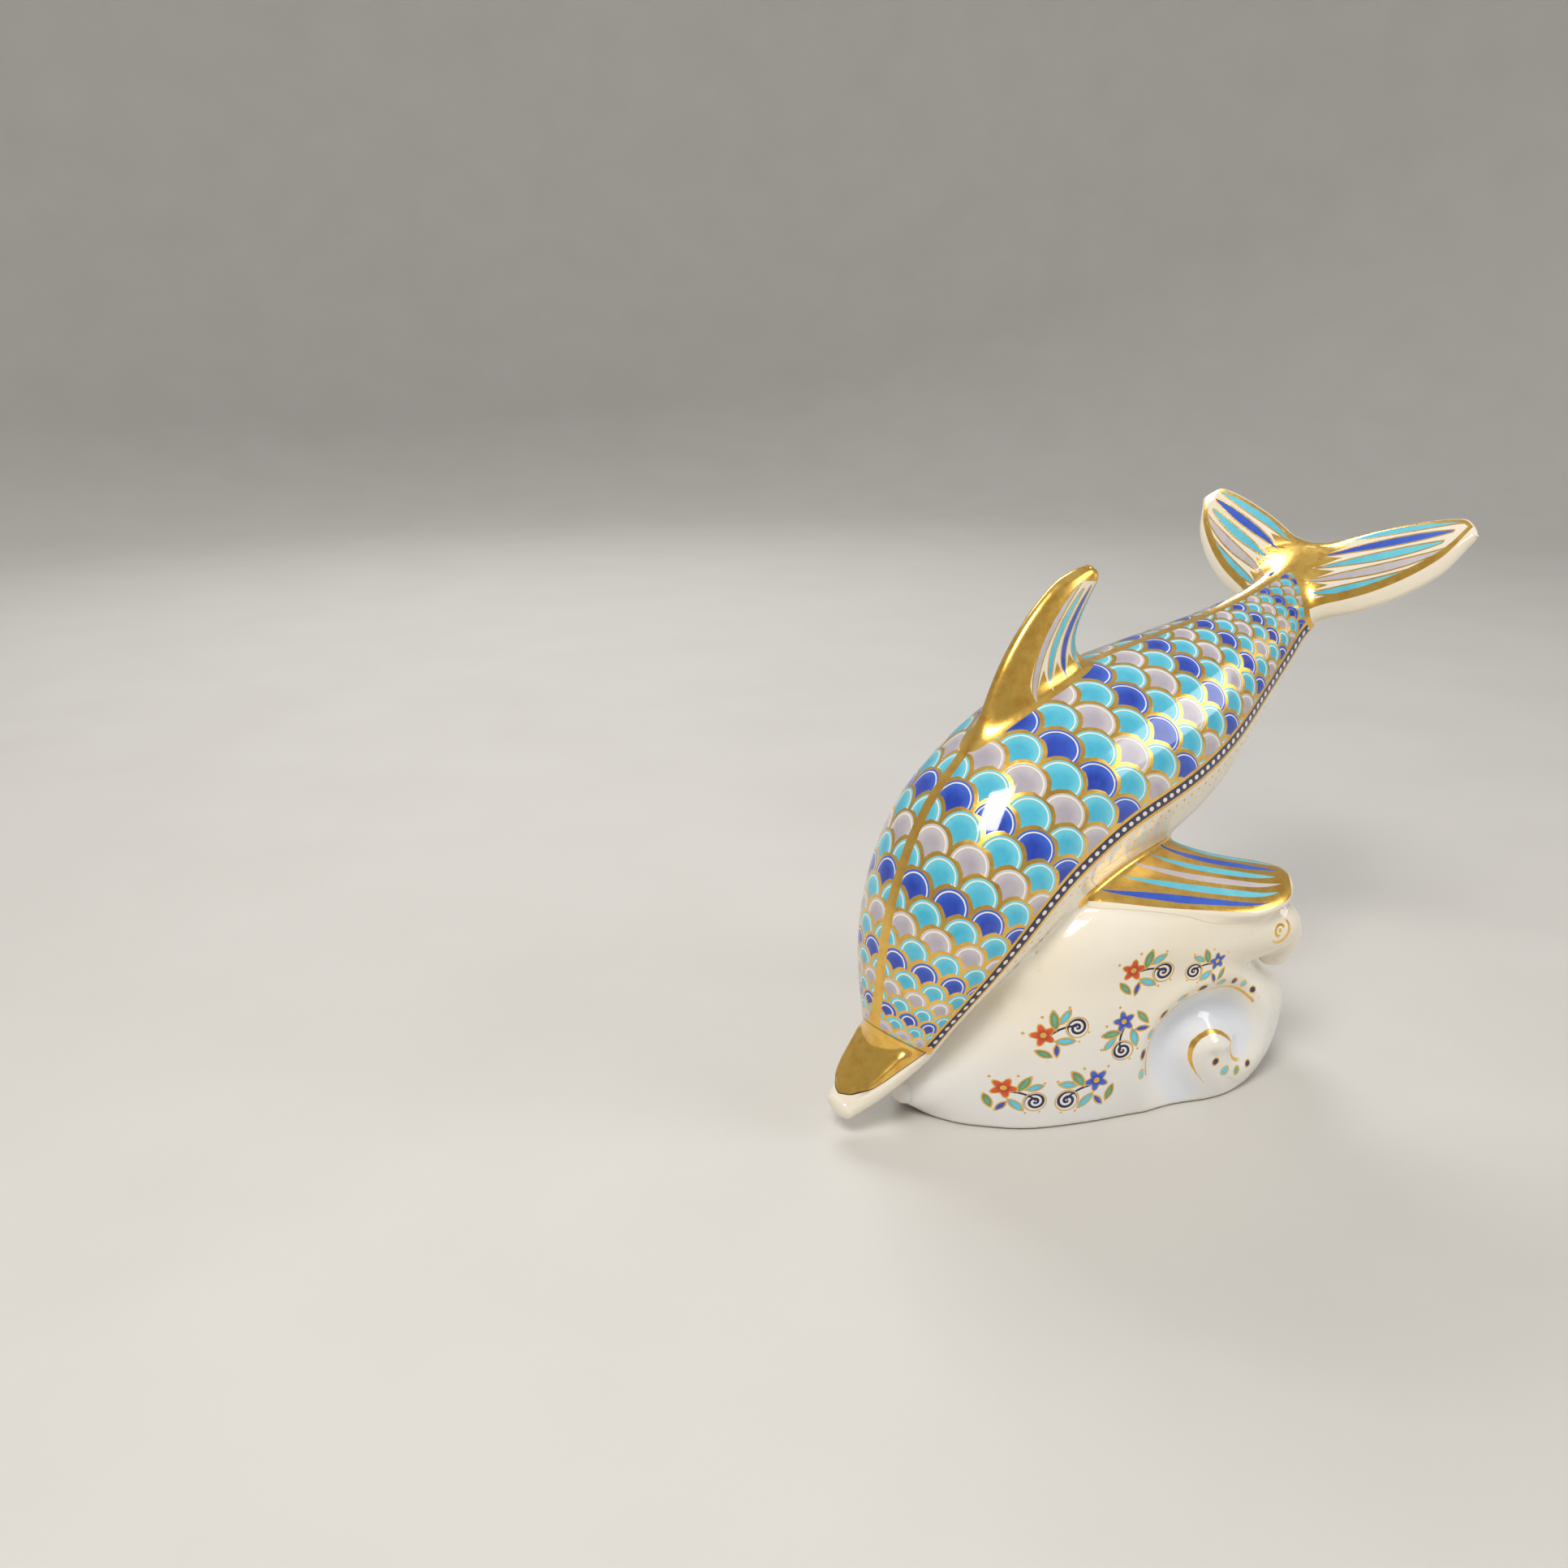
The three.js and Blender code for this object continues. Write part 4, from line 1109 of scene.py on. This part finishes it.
def wave_material(name, curl=False):
    """White china with painted sprigs, a gilt line and beads round the scroll, gilt marks on the curl, and a bare foot."""
    paint = Painting(name)
    g = paint.g
    _, x, y, z = g.place()
    valley_mm, valley_run, valley_side = g.attr("valley_mm"), g.attr("valley_run"), g.attr("valley_side")
    wob = paint.wobble
    side = g.ramp(y.abs(), 14.0, 20.0)

    # painted shade: the white is painted cool and bluish in the scroll's hollows and lower down the wave, where shade
    # falls, and stays warm cream on the shoulders
    pool = g.ramp(valley_mm, 2.0, 8.0, 0.9, 0.0) * side * g.cover(5.0 - valley_run, 5.0)
    low = g.ramp(z, 4.0, 40.0, 0.55, 0.0)
    paint.colour = g.mix(pool.max(low * g.ramp(g.noise(22.0, 1.0), 0.35, 0.65, 0.6, 1.0)), paint.colour, COOL_SHADE)
    outside = g.ramp(y.abs(), 35.5, 36.5)
    ring, slope = g.hypot(x - 107.6, z - 46.0), (x - 107.6) * 0.8 - (z - 46.0) * 0.6
    paint.gild(g.cover((ring - 3.3).abs() - slope * 0.14 - 0.1 + wob * 0.5) * g.cover(-0.6 - slope) * outside)
    paint.gild(g.cover((ring - 1.5).abs() - 0.36 + wob * 0.4) * g.cover(slope - 0.9) * outside)
    paint.gild(g.cover(ring - 0.55 + wob * 0.4) * outside)
    if curl:
        return paint.finish()

    # sprigs on each flank and on the stern: middle x (on the stern y), z, turn, size, and whether it is turned round
    flank, stern = y.abs().more(16.0), x.more(112.0) * y.abs().less(27.0)
    p, q, on, odd = None, None, None, None
    for cx, cz, angle, size, flip in ((38.5, 10.4, -6, 0.80, 0), (54.8, 10.6, 10, 0.90, 1), (47.0, 27.0, 34, 0.84, 0), (64.0, 25.0, 66, 0.82, 1),
                                      (68.4, 41.0, 14, 0.84, 0), (85.4, 40.4, -8, 0.70, 1),
                                      (-17.0, 20.5, -8, 0.86, 0), (0.8, 29.5, 6, 0.90, 1), (17.4, 20.0, 14, 0.84, 0)):
        across, where = (x, flank) if cx > 30 else (y, stern)
        c, s = math.cos(math.radians(angle)) / size, math.sin(math.radians(angle)) / size
        u, v = (across - cx) * c + (z - cz) * s, (z - cz) * c - (across - cx) * s
        here = g.hypot(u, v).less(9.4) * where
        u = u * (-1.0 if flip else 1.0)
        p = u if p is None else g.lerp(here, p, u)
        q = v if q is None else g.lerp(here, q, v)
        on = here if on is None else on.max(here)
        odd = here * float(flip) if odd is None else g.lerp(here, odd, float(flip))

    def leaf(cx, cy, angle, long, wide):
        c, s = math.cos(math.radians(angle)), math.sin(math.radians(angle))
        u, v = (p - cx) * c + (q - cy) * s, (q - cy) * c - (p - cx) * s
        r = (long ** 2 + wide ** 2) / (2 * wide)
        return g.hypot(u, v.abs() + (r - wide)) - r + wob * 0.3

    def disc(cx, cy, r):
        return g.hypot(p - cx, q - cy) - r

    def gilt_edge(d):
        paint.gild(g.cover(d.abs() - 0.22) * on)

    # stem: an arc that ends in a spiral
    stem = (g.hypot(p + 1.0, q + 9.5) - 10.4 + wob * 0.3).abs() - 0.34
    paint.enamel(g.cover(stem) * g.cover(p.abs() - 5.6) * on, NAVY)
    rho, phi = g.hypot(p - 5.4, q + 2.0), g.math("ARCTAN2", q + 2.0, p - 5.4)
    coil = ((rho / 1.55 - phi / (2 * math.pi)).frac() - 0.5).abs() * 1.55 - 0.42
    paint.enamel(g.cover(coil.max(rho - 2.9)) * on, NAVY)
    paint.gild(g.cover((rho - 3.25).abs() - 0.2) * on)
    # leaves
    for cx, cy, angle, long, wide, colour, deep in (
            (1.6, 3.9, 62, 3.2, 1.25, SAGE, SAGE_DEEP), (4.6, 2.9, 20, 2.7, 1.05, TURQUOISE, TURQUOISE_DEEP),
            (-6.6, -3.2, 118, 2.7, 1.05, SAGE, SAGE_DEEP), (0.4, -3.6, -38, 3.0, 1.15, TURQUOISE, TURQUOISE_DEEP),
            (-3.2, -4.6, -120, 2.2, 0.85, COBALT, COBALT_DEEP)):
        d = leaf(cx, cy, angle, long, wide)
        paint.enamel(g.cover(d) * on, colour, deep, g.ramp(d, -1.1, -0.1))
        gilt_edge(d)
    # flower with five petals
    rho, phi = g.hypot(p + 3.4, q - 1.9), g.math("ARCTAN2", q - 1.9, p + 3.4)
    petal = rho - ((phi * 5.0).cos() * 0.75 + 2.75) + wob * 0.3
    paint.enamel(g.cover(petal) * on, CORAL, CORAL_DEEP, g.ramp(rho, 0.6, 2.6, 1.0, 0.0))
    paint.enamel(g.cover(petal) * on * odd, COBALT, COBALT_DEEP, g.ramp(rho, 0.6, 2.6, 1.0, 0.0))
    gilt_edge(petal)
    paint.gild(g.cover(rho - 0.85) * on)
    for cx, cy, r in ((-7.2, 5.2, 0.42), (-0.4, 6.6, 0.42), (3.2, 6.2, 0.36), (7.2, 4.6, 0.42), (7.4, -5.6, 0.42), (3.4, -6.2, 0.36), (-7.4, -6.2, 0.36)):
        paint.gild(g.cover(disc(cx, cy, r)) * on)

    # the scroll: a gilt line along the edge of its tongue, beads round the bowl, and dots on the tongue
    inner, outer = side * g.cover(valley_side, 0.2), side * g.cover(-valley_side, 0.2)
    paint.gild(g.cover((valley_mm - 5.2 + wob).abs() - g.ramp(valley_run, 8.0, 26.0, 0.05, 0.46)) * inner * g.cover(8.0 - valley_run))
    bowl = outer * g.cover(20.0 - valley_run) * g.cover(valley_run - 52.0)
    paint.gild(g.cover((valley_mm - 7.0 + wob).abs() - 0.34) * bowl)
    bead = g.hypot(((valley_run / 3.2).frac() - 0.5) * 3.9, valley_mm - 8.9)
    paint.enamel(g.cover(bead - 0.95 + wob * 0.4) * bowl, TURQUOISE, TURQUOISE_DEEP)
    paint.enamel(g.cover(bead - 0.95 + wob * 0.4) * bowl * (valley_run / 3.2).floor().mod(2.0), NAVY)
    paint.gild(g.cover((bead - 0.95 + wob * 0.4).abs() - 0.17) * bowl)
    for cx, cz, r, colour, deep in ((90.6, 12.4, 1.0, NAVY, COBALT_DEEP), (94.4, 8.8, 1.25, TURQUOISE, TURQUOISE_DEEP),
                                    (99.4, 7.2, 1.1, SAGE, SAGE_DEEP), (104.2, 7.6, 0.9, NAVY, COBALT_DEEP)):
        d = g.hypot(x - cx, z - cz) - r + wob * 0.4
        paint.enamel(g.cover(d) * side, colour, deep)
        paint.gild(g.cover((d - 0.1).abs() - 0.2) * side)
    return paint.finish(bare=g.ramp(z, 0.35, 0.75, 1.0, 0.0))


def plastic_material(name, colour, deep, rough, grain_mm):
    g = Graph(name)
    bsdf, out = g.node("ShaderNodeBsdfPrincipled"), g.node("ShaderNodeOutputMaterial")
    g.tree.links.new(bsdf.outputs[0], out.inputs[0])
    fine = g.noise(grain_mm, 3.0, 0.6)
    g.put(bsdf.inputs["Base Color"], g.mix(g.ramp(g.noise(6.0, 2.0), 0.3, 0.7), colour, deep))
    g.put(bsdf.inputs["Roughness"], g.ramp(fine, 0.3, 0.7, rough - 0.06, rough + 0.08))
    bump = g.node("ShaderNodeBump")
    bump.inputs["Strength"].default_value = 0.3
    bump.inputs["Distance"].default_value = 0.0001
    g.put(bump.inputs["Height"], fine)
    g.tree.links.new(bump.outputs[0], bsdf.inputs["Normal"])
    return g.material


def sand_material():
    g = Graph("dry_sand")
    bsdf, out = g.node("ShaderNodeBsdfPrincipled"), g.node("ShaderNodeOutputMaterial")
    g.tree.links.new(bsdf.outputs[0], out.inputs[0])
    grain = g.node("ShaderNodeTexVoronoi")
    grain.inputs["Scale"].default_value = 2.2
    g.tree.links.new(g.place()[0], grain.inputs["Vector"])
    g.put(bsdf.inputs["Base Color"], g.mix(Val(g, grain.outputs["Distance"]), srgb(206, 178, 132), srgb(140, 108, 70)))
    g.put(bsdf.inputs["Roughness"], g.ramp(Val(g, grain.outputs["Distance"]), 0.0, 0.6, 0.75, 0.95))
    bump = g.node("ShaderNodeBump")
    bump.inputs["Strength"].default_value = 0.8
    bump.inputs["Distance"].default_value = 0.0004
    g.tree.links.new(grain.outputs["Distance"], bump.inputs["Height"])
    g.tree.links.new(bump.outputs[0], bsdf.inputs["Normal"])
    return g.material


def floor_material():
    g = Graph("pale_floor")
    bsdf, out = g.node("ShaderNodeBsdfPrincipled"), g.node("ShaderNodeOutputMaterial")
    g.tree.links.new(bsdf.outputs[0], out.inputs[0])
    g.put(bsdf.inputs["Base Color"], g.mix(g.noise(60.0, 2.0), srgb(206, 203, 197), srgb(214, 211, 206)))
    bsdf.inputs["Roughness"].default_value = 0.62
    return g.material


def dress(obj, material):
    obj.data.materials.clear()
    obj.data.materials.append(material)


dress(body_piece, dolphin_material("enamelled_china", "body"))
dress(fin_piece, dolphin_material("gilded_china_fin", "fin"))
dress(flukes_piece, dolphin_material("gilded_china_flukes", "flukes"))
_flipper = dolphin_material("gilded_china_flipper", "flipper")
for _o in flipper_pieces:
    dress(_o, _flipper)
dress(wave_piece, wave_material("white_china"))
_curl = wave_material("white_china_curl", curl=True)
for _o in curl_pieces:
    dress(_o, _curl)
dress(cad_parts["stopper_disc"], plastic_material("stopper_plastic", srgb(214, 210, 200), srgb(196, 190, 178), 0.42, 0.5))
dress(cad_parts["stopper_grip_ring"], plastic_material("stopper_rubber", srgb(58, 56, 54), srgb(40, 38, 37), 0.62, 0.3))
dress(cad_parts["sand_fill"], sand_material())


# ---------------------------------------------------------------- camera, light and floor

def add_camera():
    data = bpy.data.cameras.new("camera")
    data.sensor_width = 36.0
    data.lens = 36.0 * 1800 / 1932
    data.clip_start, data.clip_end = 0.01, 20
    obj = bpy.data.objects.new("camera", data)
    bpy.context.scene.collection.objects.link(obj)
    e, h = math.radians(18.0), math.radians(32.5)
    look = Vector((math.cos(e) * math.sin(h), math.cos(e) * math.cos(h), -math.sin(e)))
    obj.rotation_euler = look.to_track_quat("-Z", "Y").to_euler()
    obj.location = (-0.26754, -0.26464, 0.1970)
    bpy.context.scene.camera = obj
    return obj


def add_area(name, place, target, size, power, colour=(1, 1, 1)):
    data = bpy.data.lights.new(name, "AREA")
    data.shape, data.size, data.size_y = "RECTANGLE", size[0], size[1]
    data.energy, data.color = power, colour
    obj = bpy.data.objects.new(name, data)
    bpy.context.scene.collection.objects.link(obj)
    obj.location = place
    obj.rotation_euler = (Vector(target) - Vector(place)).to_track_quat("-Z", "Y").to_euler()
    return obj


add_camera()
add_area("key_light", (-0.55, -0.35, 0.85), (0, 0, 0.06), (0.35, 0.35), 6.4, (1.0, 0.96, 0.90))
add_area("fill_light", (0.75, -0.75, 0.55), (0, 0, 0.06), (0.6, 0.5), 3.4, (0.95, 0.98, 1.0))
add_area("back_light", (0.15, 0.85, 0.75), (0, 0, 0.06), (0.6, 0.3), 4.4)

bpy.context.scene.view_settings.view_transform = "Standard"
bpy.context.scene.view_settings.exposure = 0.0

world = bpy.data.worlds.new("studio")
bpy.context.scene.world = world
world.use_nodes = True
world.node_tree.nodes["Background"].inputs["Color"].default_value = (0.80, 0.82, 0.86, 1)
world.node_tree.nodes["Background"].inputs["Strength"].default_value = 0.5

def add_floor():
    """A pale round floor that sweeps up into a wall on every side, with an opening below the stopper that the foot hides."""
    profile = [(0.028, 0.0), (0.06, 0.0), (0.2, 0.0), (0.5, 0.0), (1.1, 0.0)]
    profile += [(1.1 + 0.6 * math.sin(a), 0.6 - 0.6 * math.cos(a)) for a in np.linspace(0.1, 0.5 * math.pi, 14)]
    profile += [(1.7, 1.9)]
    n = 96
    middle = (HOLE_X - BEAK_TO_ORIGIN) / 1000
    verts = [(middle + r * math.cos(2 * math.pi * j / n), r * math.sin(2 * math.pi * j / n), z - 0.0001) for r, z in profile for j in range(n)]
    faces = [(i * n + j, (i + 1) * n + j, (i + 1) * n + (j + 1) % n, i * n + (j + 1) % n) for i in range(len(profile) - 1) for j in range(n)]
    mesh = bpy.data.meshes.new("floor")
    mesh.from_pydata(verts, [], faces)
    mesh.polygons.foreach_set("use_smooth", np.ones(len(faces), bool))
    obj = bpy.data.objects.new("floor", mesh)
    bpy.context.scene.collection.objects.link(obj)
    mesh.materials.append(floor_material())
    return obj


floor = add_floor()
